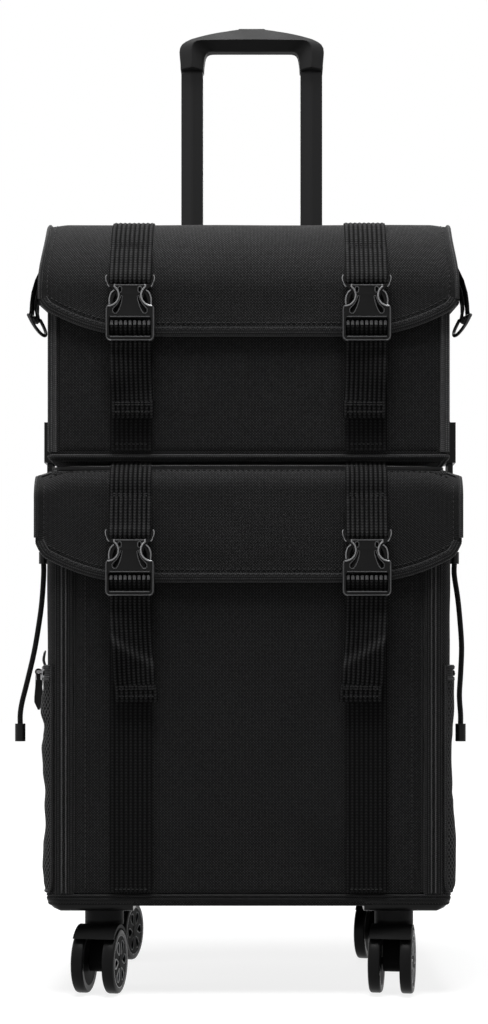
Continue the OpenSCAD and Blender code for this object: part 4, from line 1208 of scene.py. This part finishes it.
def flap_strap(b, x, face, crest, bar, seam):
    """Strap over a flap's crest, out round the plug's bar and back up behind itself."""
    path = []
    for p, n in crest:
        lean = max(0.0, (seam - p.z) / (seam - bar))
        path.append(p + n * (1.1 + 1.6 * smooth(lean * 4) + 6.0 * lean ** 1.4))
    loop = [(7.4, bar + 6), (8.3, bar + 2.6)] + arc(BUCKLE_OUT, bar, TURN_R, 0, -180, 6) \
        + [(2.2, bar + 4), (1.3, bar + 8)]
    path += [V(0, face - o, z) for o, z in loop]
    path += [q for q in (p + n * 1.05 for p, n in reversed(crest) if p.z < seam) if q.z > bar + 9]
    webbing(b, [p + V(x, 0) for p in path])


def crest_line(point, across, vs, low):
    """Line of a strap on a flap above a height, as points with their outward directions."""
    out = []
    for v in vs:
        p = point(across, v)
        t = (point(across, v + 0.01) - p).normalized()
        if p.z > low:
            out.append((V(0, p.y, p.z), V(0, t.z, -t.y)))
    return out


def tail(b, x, face, datum, length, lean, curl, wave, fold=0.0):
    """Loose webbing: up from the body, round the ladder bar and down in front."""
    turn = arc(-BUCKLE_OUT, -35.6, TURN_R, 0, 180, 6)
    path = along([V(x, face + y, datum + z) for y, z in TAIL_RISE + turn + TAIL_FALL], 2.5)
    first = len(path)
    for u in steps(0, 1, 26, 1):
        y = -4.0 - 2.6 * math.sin(PI * min(1, u * 1.5)) + 3.4 * u + wave * math.sin(u * 5.0)
        path.append(V(x + lean * u * u, face + y, datum - 50 + (2 - length) * u))
    total = len(path)

    def share(i):
        return max(0.0, (i - first) / (total - first))

    def side(i, t):
        a = math.radians(curl) * math.sin(PI * min(1.0, share(i) * 1.25))
        return V(math.cos(a), math.sin(a))

    def folded(i):
        k, rows = share(i), []
        for a, h in prof:
            cross = 0.43 + 0.14 * a / (WEB_W / 2) * (1 if x < 0 else -1)
            crease = smooth((k - cross) / 0.1) * (1 - smooth((k - cross) / (1.02 - cross)))
            rows.append((a, h + fold * crease))
        return rows
    prof = webbing_profile(WEB_W, WEB_T)
    b.sweep(path, folded, side, across=rib_marks(prof, WEB_W))
    end = path[-1]
    hem = [end + V(*q) for q in ((-lean * 0.08, -1.9, 12), (0, -2.0, 3), (0, -1.4, -0.8),
                                 (0, -0.2, -1.6))]
    prof = webbing_profile(WEB_W + 0.8, 1.8)
    b.sweep(along(hem, 2.0), prof, lambda i, t: side(total - 1, t),
            across=rib_marks(prof, WEB_W + 0.8))
    for z in (10.5, 8.6, 2.6):
        cross_stitches(b, end.x, end.y - 3.2, end.z + z, 15, 1, pitch=2.6, length=2.0)


def straps():
    low, up, sew_low, sew_up = Build(), Build(), Build(), Build()
    for s in SIDES:
        x = s * STRAP_X
        vs = steps(0.1, 1, 12)[:-1] + steps(1, 1.62, 12)[:-1]
        crest = crest_line(low_flap_point, x, vs, LOW_BUCKLE + 10)
        flap_strap(low, x, LOW_FACE, crest, bar=LOW_BUCKLE + 2, seam=419.0)
        for z in (420.5, 418.6):
            cross_stitches(sew_low, x, LOW_FACE - 4.4, z, 15)
        vs = [0.92, 0.96] + steps(1, 2, 14)[:-1] + steps(2, 2.5, 6)[:-1]
        crest = crest_line(up_point, x / RETURN, vs, UP_BUCKLE + 10)
        flap_strap(up, x, UP_FACE, crest, bar=UP_BUCKLE + 2, seam=629.0)
        seam, n = min(crest, key=lambda c: abs(c[0].z - 628.0))
        for k in (0.0, 1.8):
            p = seam + n * 4.4
            cross_stitches(sew_up, x, p.y, p.z - k, 15, out=n)
    on_low_flap(low.make("lower_flap_webbing", None, WEBBING, "webbing", ["lower_flap_straps"]))
    on_low_flap(sew_low.make("lower_flap_webbing_seams", None, THREAD, "trim"))
    up.make("upper_flap_webbing", "upper_flap", WEBBING, "webbing", ["upper_flap_straps"])
    sew_up.make("upper_flap_webbing_seams", "upper_flap", THREAD, "trim")
    low, up = Build(), Build()
    for s in SIDES:
        tail(low, s * STRAP_X, LOW_FACE, LOW_BUCKLE, length=86, lean=-s * 5.0, curl=-s * 13,
             wave=0.8, fold=5.0)
        tail(up, s * STRAP_X, UP_FACE, UP_BUCKLE, length=61, lean=-s * 1.5, curl=-s * 8, wave=0.5)
    # the tails use the half-shaded webbing, a painted shade
    low.make("lower_tail_webbing", "front_door", [HALF_SHADED_WEBBING, THREAD], "webbing", ["lower_tails"])
    up.make("upper_tail_webbing", "upper_bag", [HALF_SHADED_WEBBING, THREAD], "webbing", ["upper_tails"])
    low, up = Build(), Build()
    for s in SIDES:
        x = s * STRAP_X
        for b, y, z0, z1, seams in ((low, -118.0, DOOR_Z0 + 1.6, 323, (DOOR_Z0 + 4, 320)),
                                    (up, BAG_FRONT - 1.9, 458, 535, (463,))):
            webbing(b, line((x, y, z0), (x, y, z1), 6))
            for z in seams:
                cross_stitches(b, x, y - 1.2, z, 14, 1, pitch=3.4, length=2.5)
    low.make("door_webbing", "front_door", [SHADED, THREAD], "webbing", ["door_straps"])
    up.make("bag_webbing", "upper_bag", [SHADED, THREAD], "webbing", ["bag_straps"])


straps()


# ---------- buckles

FACE_OUT = BUCKLE_OUT + 5.1
# Outlines of a buckle's right half as (across, up) from the strap's middle and the datum height
SCOOP = [(13.2, -1.1)] + arc(18.6, -10.2, 8.8, 118, 262, 18)[1:]
FLANK = [(18.9, -19.0), (19.8, -20.0), (20.1, -22), (20.1, -43.5)] \
    + arc(16.3, -43.9, 3.8, 0, -90, 8)
WINDOW = [(0.01, -28.4), (16.6, -28.4), (17.6, -29.4), (17.6, -43.2), (16.6, -44.2), (0.01, -44.2)]
SOCKET_BACK = [(0.01, -8), (9, -8), (13.6, -19.4), (19.4, -19.8), (20.0, -22), (20.0, -43.5)] \
    + arc(16.3, -43.9, 3.7, 0, -90, 5) + [(0.01, -47.6)]
OPENING = [(6.0, -10.9), (7.2, -10.4), (7.9, -12.2), (8.8, -14.6), (10.5, -17.4), (13.0, -20.0),
           (14.5, -22.0), (14.3, -24.2), (13.0, -25.4), (11.2, -25.2), (9.6, -23.2), (8.0, -19.6),
           (6.7, -15.2)]
EYE = arc(8.3, -4.5, 1.5, 0, 180, 6) + arc(8.3, -6.5, 1.5, 180, 360, 6)
PLUG = [(0.01, -0.6), (16.4, -0.6), (17.4, 0.6), (17.9, 4.2), (18.4, 6.6), (19.6, 7.2), (20.4, 6.2),
        (20.4, 3.0), (19.8, 0.2), (18.0, -2.2), (15.4, -3.8), (12.4, -6.4), (11.0, -12.0),
        (0.01, -12.0)]
PLUG_EYE = arc(8.3, -4.9, 1.9, 0, 180, 6) + arc(8.3, -6.9, 1.9, 180, 360, 6)
ARM = [(10.0, -6.0), (13.2, -5.6), (16.0, -8.4), (17.4, -12.6), (17.3, -17.0), (15.6, -21.6),
       (13.6, -23.6), (12.4, -22.4), (13.8, -17.6), (13.7, -13.4), (12.4, -10.2)]
PLUG_RIMS = (((17.2, -2.6), (18.6, -0.6), (19.7, 2.4), (20.0, 5.2), (19.4, 7.0)),
             ((13.2, -5.4), (15.8, -7.9), (17.3, -12.4), (17.3, -17.2)))
TONGUE = [(-6.5, -10), (6.5, -10), (6.5, -24), (5, -26), (-5, -26), (-6.5, -24)]


def on_side(s, pts):
    return [(s * u, v) for u, v in pts]


def mirrored(half):
    """Closes an outline given for its right half, from the top middle to the bottom middle."""
    return half + on_side(-1, reversed(half))


def block(u, v0, v1):
    return [(-u, v0), (u, v0), (u, v1), (-u, v1)]


def placing(x, face, datum):
    """Gives for a depth in front of the flap's face the map of a plate lying there."""
    return lambda out: lambda u, v, w: (x + u, face - out - w, datum + v)


def socket(b, x, face, datum):
    """Female half of a side-release buckle with its ladder."""
    at = placing(x, face, datum)

    def front(u, v, sink=0.1):
        return V(x + u, face - FACE_OUT + sink, datum + v)
    c, window = BUCKLE_OUT, mirrored(WINDOW)
    outline = mirrored([(0.01, -1.4), (9, -1.3)] + SCOOP + FLANK + [(0.01, -47.7)])
    holes = [on_side(s, hole) for s in SIDES for hole in (EYE, OPENING)]
    b.plate([outline, window] + holes, 3.2, 0.42, at(c + 3.5))
    for s in SIDES:
        # bright beads along the rims and holes: painted highlights
        rim = [front(s * (u - 0.5), v, 0.15) for u, v in SCOOP + FLANK]
        cut = len(SCOOP)
        b.tube(along(rim[:cut + 1], 2.0), 0.75, 6, 1)
        b.tube(along(rim[cut:], 2.0), 0.62, 6, 2)
        for hole in (EYE, OPENING):
            b.tube([front(u, v) for u, v in on_side(s, hole)], 0.46, 6, 2, closed=True)
    for half, v in ((12.4, -1.8), (16.4, -28.0), (16.4, -44.6), (16.4, -47.4)):
        b.tube(line(front(-half, v), front(half, v), 6), 0.5, 6, 2)
    b.plate([mirrored(SOCKET_BACK), window], 2.6, 0.7, at(c - 3.0))
    for s in SIDES:
        b.plate([on_side(s, ((17.4, -20.2), (20.0, -21.5), (20.0, -45), (17.6, -46)))], 9.0, 0.6,
                at(c))
    b.plate([block(17.8, -46.9, -44.0)], 2.6, 0.9, at(c + 3.6))
    b.plate([block(18.4, -38.0, -33.6)], 3.4, 0.8, at(c))
    # teeth in the bright tooth material: painted highlight
    for u in steps(-15.6, 15.6, 8):
        b.plate([[(u - 1.25, -34.6), (u + 1.25, -34.6), (u + 1.25, -31.2), (u, -30.5),
                  (u - 1.25, -31.2)]], 3.0, 0.6, at(c + 2.2), 3, 1)


def plug(b, x, face, datum):
    """Male half: strap bar between two upturned horns, neck, and sprung side arms."""
    at, c = placing(x, face, datum), BUCKLE_OUT
    b.plate([mirrored(PLUG)] + [on_side(s, PLUG_EYE) for s in SIDES], 5.6, 0.5, at(c + 0.4))
    b.tube(line((x - 18, face - c, datum + 2), (x + 18, face - c, datum + 2), 9), 1.6)
    for s in SIDES:
        b.plate([on_side(s, ARM)], 4.6, 1.2, at(c))
        # bright beads along the plug's curved edges: painted highlights
        for rim in PLUG_RIMS:
            b.tube(curve([(x + u, face - c - 2.6, datum + v) for u, v in on_side(s, rim)], 4),
                   0.7, 6, 1)
    b.plate([TONGUE], 3.4, 0.6, at(c - 0.6))


for tier, body, flap_body, face, datum in (
        ("lower", "front_door", "lower_flap", LOW_FACE, LOW_BUCKLE),
        ("upper", "upper_bag", "upper_flap", UP_FACE, UP_BUCKLE)):
    # plastic, then the bright materials that paint highlights on rims, edges and teeth
    finish = [PLASTIC, RIM_HIGHLIGHT, EDGE_HIGHLIGHT, TOOTH_HIGHLIGHT]
    for half, shape, rider in (("sockets", socket, body), ("plugs", plug, flap_body)):
        b = Build()
        for s in SIDES:
            shape(b, s * STRAP_X, face, datum)
        b.make(f"{tier}_buckle_{half}", rider, finish, "black_plastic", [f"{tier}_{half}"],
               sharp=32)


# ---------- side tabs

TAB_OUT = [(171.2, 648), (172.0, 640), (175.0, 632), (181.4, 623), (186.2, 613), (189.4, 602),
           (190.6, 593), (191.0, 586)]
TAB_EYE = arc(188.6, 582.4, 3.0, 10, -190, 5)
TAB_BACK = [(186.6, 588), (186.4, 595), (184.6, 604), (180.6, 614), (176.0, 624), (172.6, 634)]
TIE_DROP = [(169.4, 524), (169.8, 516), (171.8, 508), (176.2, 500), (178.4, 493), (178.5, 487)]
TIE_HOLD = [(178.5, 455), (179.2, 449), (180.2, 442), (180.2, 432), (179.8, 424)]
# Each side strap's name, body, replaced nodes, y, width, ribs, run (x, z), seams (x, z), half the
# length of a seam and the upward share of its stitches' direction
SIDE_STRAPS = (
    ("ring_tab", "upper_flap", ["ring_tabs"], RING_Y, 22, 6, TAB_OUT + TAB_EYE + TAB_BACK,
     ((173.2, 645), (173.8, 637.5)), 9, 0.2),
    ("tie_strap", "upper_bag", (), SIDE_Y, 20, 5, TIE_DROP, ((170.8, 521),), 8, 0.0),
    ("tie_anchor", "lower_case", (), SIDE_Y, 20, 5, TIE_HOLD, ((181.2, 428),), 8, 0.0),
)
for name, body, nodes, y, width, ribs, run, seams, half, tip in SIDE_STRAPS:
    b = Build()
    for s in SIDES:
        path = [V(s * x, y, z) for x, z in run]
        webbing(b, along(path, 2.5), width, 1.7, (0, -s, 0), ribs, 2.5)
        for x, z in seams:
            b.stitches(line((s * x, y - half, z), (s * x, y + half, z), 3), (s, 0, tip), 1)
    b.make(f"{name}_webbing", body, [WEBBING, THREAD], "webbing", nodes)


# ---------- handle

WELL_HALF, WELL_DEEP, WELL_Z = 13.3, 6.3, 881.0
BAR_HALF, BAR_TOP, RIDGE_OUT = 58.6, 891.0, 15.6
BAR_STEPS, WELL_AT = 24, (9, 15)
ARCH_HALF, ARCH_RISE = 69.6, 13.0
BUTTON_Z, STRIP_Z = 885.1, 877.0
# Sections up the left leg: outer, ridge and inner point (x, z), then half depths out and in
LEG = [((-68.5, 851.6), (-57.5, 851.6), (-46.4, 851.6), 9.0, 8.6),
       ((-68.6, 857), (-57.5, 858), (-46.0, 858.4), 9.0, 8.4),
       ((-69.2, 863), (-57.5, 864), (-45.2, 863.6), 8.8, 7.4),
       ((-69.6, 868.4), (-57.4, 868.6), (-44.4, 866.8), 8.4, 6.4),
       ((-69.1, 873.0), (-56.9, 872.4), (-43.0, 869.0), 7.8, 5.6),
       ((-67.2, 876.6), (-55.4, 875.4), (-40.8, 870.1), 7.2, 5.0),
       ((-64.0, 879.2), (-52.8, 877.3), (-37.8, 870.5), 6.8, 4.6)]
BUTTON = [(-13.0, -4.6), (-12.6, -5.6), (-11.6, -6.0), (11.6, -6.0), (12.6, -5.6), (13.0, -4.6),
          (13.0, 4.6), (12.6, 5.6), (11.6, 6.0), (-11.6, 6.0), (-12.6, 5.6), (-13.0, 4.6)]
STRIP = [(-59.5, -1.8), (-58.3, -3.0), (58.3, -3.0), (59.5, -1.8), (59.5, 1.8), (58.3, 3.0),
         (-58.3, 3.0), (-59.5, 1.8)]


def grip():
    """Grip with a ridge along its front and back, carried up one leg, across and down."""
    crest = (ARCH_HALF ** 2 + ARCH_RISE ** 2) / (2 * ARCH_RISE)
    bar = []
    for k, u in enumerate(steps(-1, 1, BAR_STEPS)):
        if k in WELL_AT:
            u = math.copysign(WELL_HALF / BAR_HALF, u)
        x = BAR_HALF * u
        deep = 6.6 + 1.6 * smooth((0.42 - abs(u)) / 0.18)
        bar.append(((x, BAR_TOP - crest + math.sqrt(crest * crest - x * x)), (48.6 * u, 878.0),
                    (34.0 * u, 870.4), deep, 4.2))
    right = [tuple((-q[0], q[1]) for q in st[:3]) + st[3:] for st in reversed(LEG)]
    rows, top = [], []
    for o, m, i, deep_o, deep_i in LEG + bar + right:
        r = [V(q[0], TUBE_Y + d, q[1]) for q, d in (
            (o, -deep_o), (m, -RIDGE_OUT), (i, -deep_i), (i, deep_i), (m, RIDGE_OUT), (o, deep_o))]
        rim = WELL_DEEP
        if abs(o[0]) >= WELL_HALF + 0.1:
            rim = min(WELL_DEEP, deep_o - 2.5)
        rows.append(r)
        top.append([r[5], V(o[0], TUBE_Y + rim, o[1]), V(o[0], TUBE_Y - rim, o[1]), r[0]])
    b = Build()
    b.grid(rows)
    first, last = (len(LEG) + k for k in WELL_AT)
    b.grid(top[:first + 1])
    b.grid(top[last:])
    well = top[first:last + 1]
    for a in (0, 2):
        b.grid([r[a:a + 2] for r in well])
    walls = [[r[a] for r in well] for a in (1, 2)] + [r[1:3] for r in (well[0], well[-1])]
    for wall in walls:
        b.grid([[q, V(q.x, q.y, WELL_Z)] for q in wall])
    for k in (0, -1):
        base = len(b.v)
        b.v += rows[k] + top[k][1:3]
        b.cap([base + q for q in range(8)])
    bevel(b.make("grip_moulding", "handle", GRIP, "grip_plastic", ["grip"], sharp=24), 0.8, 3, 22)


def handle():
    grip()
    b = Build()
    b.plate([BUTTON], 14.2, 0.9, lambda u, v, w: (u, TUBE_Y + v, BUTTON_Z + w))
    for x in (-6.0, 0.0, 6.0):
        b.tube(line((x, TUBE_Y - 4, BUTTON_Z + 7), (x, TUBE_Y + 4, BUTTON_Z + 7), 4), 0.4)
    b.make("release_button_cap", "button", GRIP, "grip_plastic", ["release_button"])
    rounded_edges("handle_tubes", 0.6, TUBE, 2)
    rounded_edges("guide_tubes", 0.3, TUBE, 1)
    rounded_edges("handle_bezels", 0.9, PLASTIC)
    b = Build()
    b.plate([STRIP], 1.8, 0.3, lambda u, v, w: (u, TUBE_Y + v, STRIP_Z + w))
    for s in SIDES:
        x = s * TUBE_X
        b.tube(line((x, TUBE_Y, 408), (x, TUBE_Y, STRIP_Z), 60), 2.0, 14)
    b.make("release_rods", "button", STEEL, "dark_steel", ["release_linkage"])


handle()


# ---------- casters

# Stem of each caster and the angle that its axle is turned to
WHEELS = {"fl": (-124, -84, 171), "fr": (124, -84, 171), "rl": (-124, 92, 166),
          "rr": (124, 92, 166)}
TRAIL, WHEEL_R, WHEEL_MID = 16.0, 27.0, 13.25
TYRE = [(20.6, -4.8), (25.4, -5.1), (26.5, -4.4), (27.0, -3.0), (27.0, 3.0), (26.5, 4.4),
        (25.4, 5.1), (22.4, 5.0), (21.4, 4.2), (20.6, 3.0)]
DISC = [(3.1, -4.6), (21.2, -4.6), (21.2, -2.2), (3.1, -1.4)]
BOSS = [(0.05, 1.0), (5.2, 1.0), (5.2, 4.2), (4.4, 5.0), (0.05, 5.2)]


def petals(n, r0, r1, width):
    """Teardrop openings round a hub."""
    loops = []
    for k in range(n):
        ca, sa = polar(1.0, 360 * k / n)
        loop = []
        for i in range(16):
            c, d = polar(1.0, 22.5 * i)
            rad = (r0 + r1) / 2 + (r1 - r0) / 2 * c
            w = width / 2 * d * (0.62 + 0.38 * c)
            loop.append((rad * ca - w * sa, rad * sa + w * ca))
        loops.append(loop)
    return loops


HUB = [[polar(22.0, 7.5 * k) for k in range(48)]] + petals(6, 6.6, 18.6, 11.6)
for tag, (cx, cy, turn) in WHEELS.items():
    ax, fw = V(*polar(1.0, turn)), V(*polar(1.0, turn + 90))
    centre = V(cx, cy, WHEEL_R) + fw * TRAIL
    b = Build()
    for s in SIDES:
        def place(u, v, w):
            return centre + ax * s * (WHEEL_MID + w) + fw * u + V(0, 0, v)
        b.lathe(TYRE, place, 56)
        b.plate(HUB, 2.6, 0.9, lambda u, v, w: place(u, v, 3.4 + w), 1, 3)
        # bright lines round the hub and its openings: painted highlight
        for loop in HUB[1:] + HUB[:1]:
            b.tube([place(u, v, 4.6) for u, v in loop], 0.5, 6, 2, closed=True)
        b.lathe(DISC, place, 40, 1)
        b.lathe(BOSS, place, 24, 1)
    b.make(f"wheel_pair_{tag}", f"wheels_{tag}", [RUBBER, CASTER, HUB_HIGHLIGHT], "wheel_rubber",
           [f"wheels_{tag}"], sharp=36)
    rounded_edges(f"caster_fork_{tag}", 1.2, FORK)


# ---------- small fittings

for node, width, mat, segments in (
        ("caster_sockets", 0.5, STEEL, 2), ("cord_ferrules", 0.6, PLASTIC, 2),
        ("tie_plugs", 0.9, PLASTIC, 3), ("tie_sockets", 1.2, PLASTIC, 3),
        ("ring_left", 0, STEEL, 3), ("ring_right", 0, STEEL, 3)):
    rounded_edges(node, width, mat, segments)

PULL_X, PULL_Z = 183.55, 272.0
PULL_WIRE = [(-2.6, -12), (-2.7, -6), (-2.2, -0.5), (0, 1.9), (2.2, -0.5), (2.7, -6), (2.6, -12)]
BAIL = [(177.5, -3.4, 4), (179.4, -3.6, 10), (178.6, -2.2, 16), (178.0, 0, 18), (178.6, 2.2, 16),
        (179.4, 3.6, 10), (177.5, 3.4, 4)]
for (s, side_name), y in zip(NAMED_SIDES, (-58.0, 66.0)):
    rounded_edges(f"pocket_slider_{side_name}", 0.5, BRIGHT, 2)
    rounded_edges(f"pocket_pull_{side_name}", 0.9, PLASTIC)
    wire = curve([(s * PULL_X + u, y, PULL_Z + v) for u, v in PULL_WIRE], 5)
    Build().tube(wire, 0.62).make(f"pull_wire_{side_name}", f"pull_{side_name}", BRIGHT,
                                  "dark_steel")
    bail = curve([(s * x, y + v, PULL_Z + z) for x, v, z in BAIL], 5)
    Build().tube(bail, 0.8).make(f"slider_bail_{side_name}", f"slider_{side_name}", STEEL,
                                 "dark_steel")


# ---------- studio

WHITE = (1.0, 1.0, 1.0, 1.0)
AMBIENT, FLOOR_SHADE, FLOOR_HALF = 0.05, 0.25, 8
# Each lamp's place, target, width, power and height where it isn't square
LAMPS = {
    "top": ((-0.1, -0.42, 2.6), (0, -0.05, 0.45), 1.1, 84, None),
    "front": ((-0.6, -2.6, 1.3), (0, 0, 0.45), 1.6, 1.7, None),
    "left": ((-2.0, -0.5, 1.1), (0, 0, 0.45), 0.7, 12, 1.6),
    "right": ((2.0, -0.3, 1.1), (0, 0, 0.45), 0.7, 5, 1.6),
    "back": ((0.3, 2.2, 1.6), (0, 0, 0.5), 1.4, 14, None),
}
for name, (loc, aim, size, power, size_y) in LAMPS.items():
    lamp = bpy.data.lights.new(name, "AREA")
    lamp.energy = power
    lamp.size = size
    if size_y:
        lamp.shape = "RECTANGLE"
        lamp.size_y = size_y
    ob = bpy.data.objects.new(name, lamp)
    ob.location = loc
    ob.rotation_euler = (Vector(aim) - Vector(loc)).to_track_quat("-Z", "Y").to_euler()
    scene.collection.objects.link(ob)


def seen(n):
    """1 for rays that the camera sees straight, in a reflection or through glass."""
    path = n.new("ShaderNodeLightPath").outputs
    total = path["Is Camera Ray"]
    for kind in ("Is Glossy Ray", "Is Transmission Ray"):
        total = n.math("ADD", total, path[kind], clamp=True)
    return total


world = bpy.data.worlds.new("studio")
scene.world = world
world.use_nodes = True
n = Nodes(world)
n.t.nodes.clear()
mix = n.new("ShaderNodeMixShader")
n.put(mix.inputs[0], seen(n))
for k, strength in ((1, AMBIENT), (2, 1.0)):
    n.put(mix.inputs[k], n.new("ShaderNodeBackground", Color=WHITE, Strength=strength).outputs[0])
n.new("ShaderNodeOutputWorld", Surface=mix.outputs[0])

floor_mat = bpy.data.materials.new("studio_floor")
floor_mat.use_nodes = True
n = Nodes(floor_mat)
away = n.t.nodes.new("ShaderNodeVectorMath")
away.operation = "LENGTH"
n.put(away.inputs[0], n.new("ShaderNodeTexCoord").outputs["Object"])
glow = n.new("ShaderNodeMapRange", **{"Value": away.outputs["Value"], "From Min": 0.25,
                                      "From Max": 0.75, "To Min": 0.84, "To Max": 1.0})
n.surface(Base_Color=(FLOOR_SHADE, FLOOR_SHADE, FLOOR_SHADE, 1.0), Roughness=0.9,
          Specular_IOR_Level=0.0, Emission_Color=WHITE,
          Emission_Strength=n.mul(seen(n), glow.outputs[0]))
fm = bpy.data.meshes.new("studio_floor")
corners = ((-1, -1), (1, -1), (1, 1), (-1, 1))
fm.from_pydata([(x * FLOOR_HALF, y * FLOOR_HALF, 0) for x, y in corners], [], [(0, 1, 2, 3)])
fm.materials.append(floor_mat)
floor = bpy.data.objects.new("studio_floor", fm)
scene.collection.objects.link(floor)

scene.view_settings.view_transform = "Standard"
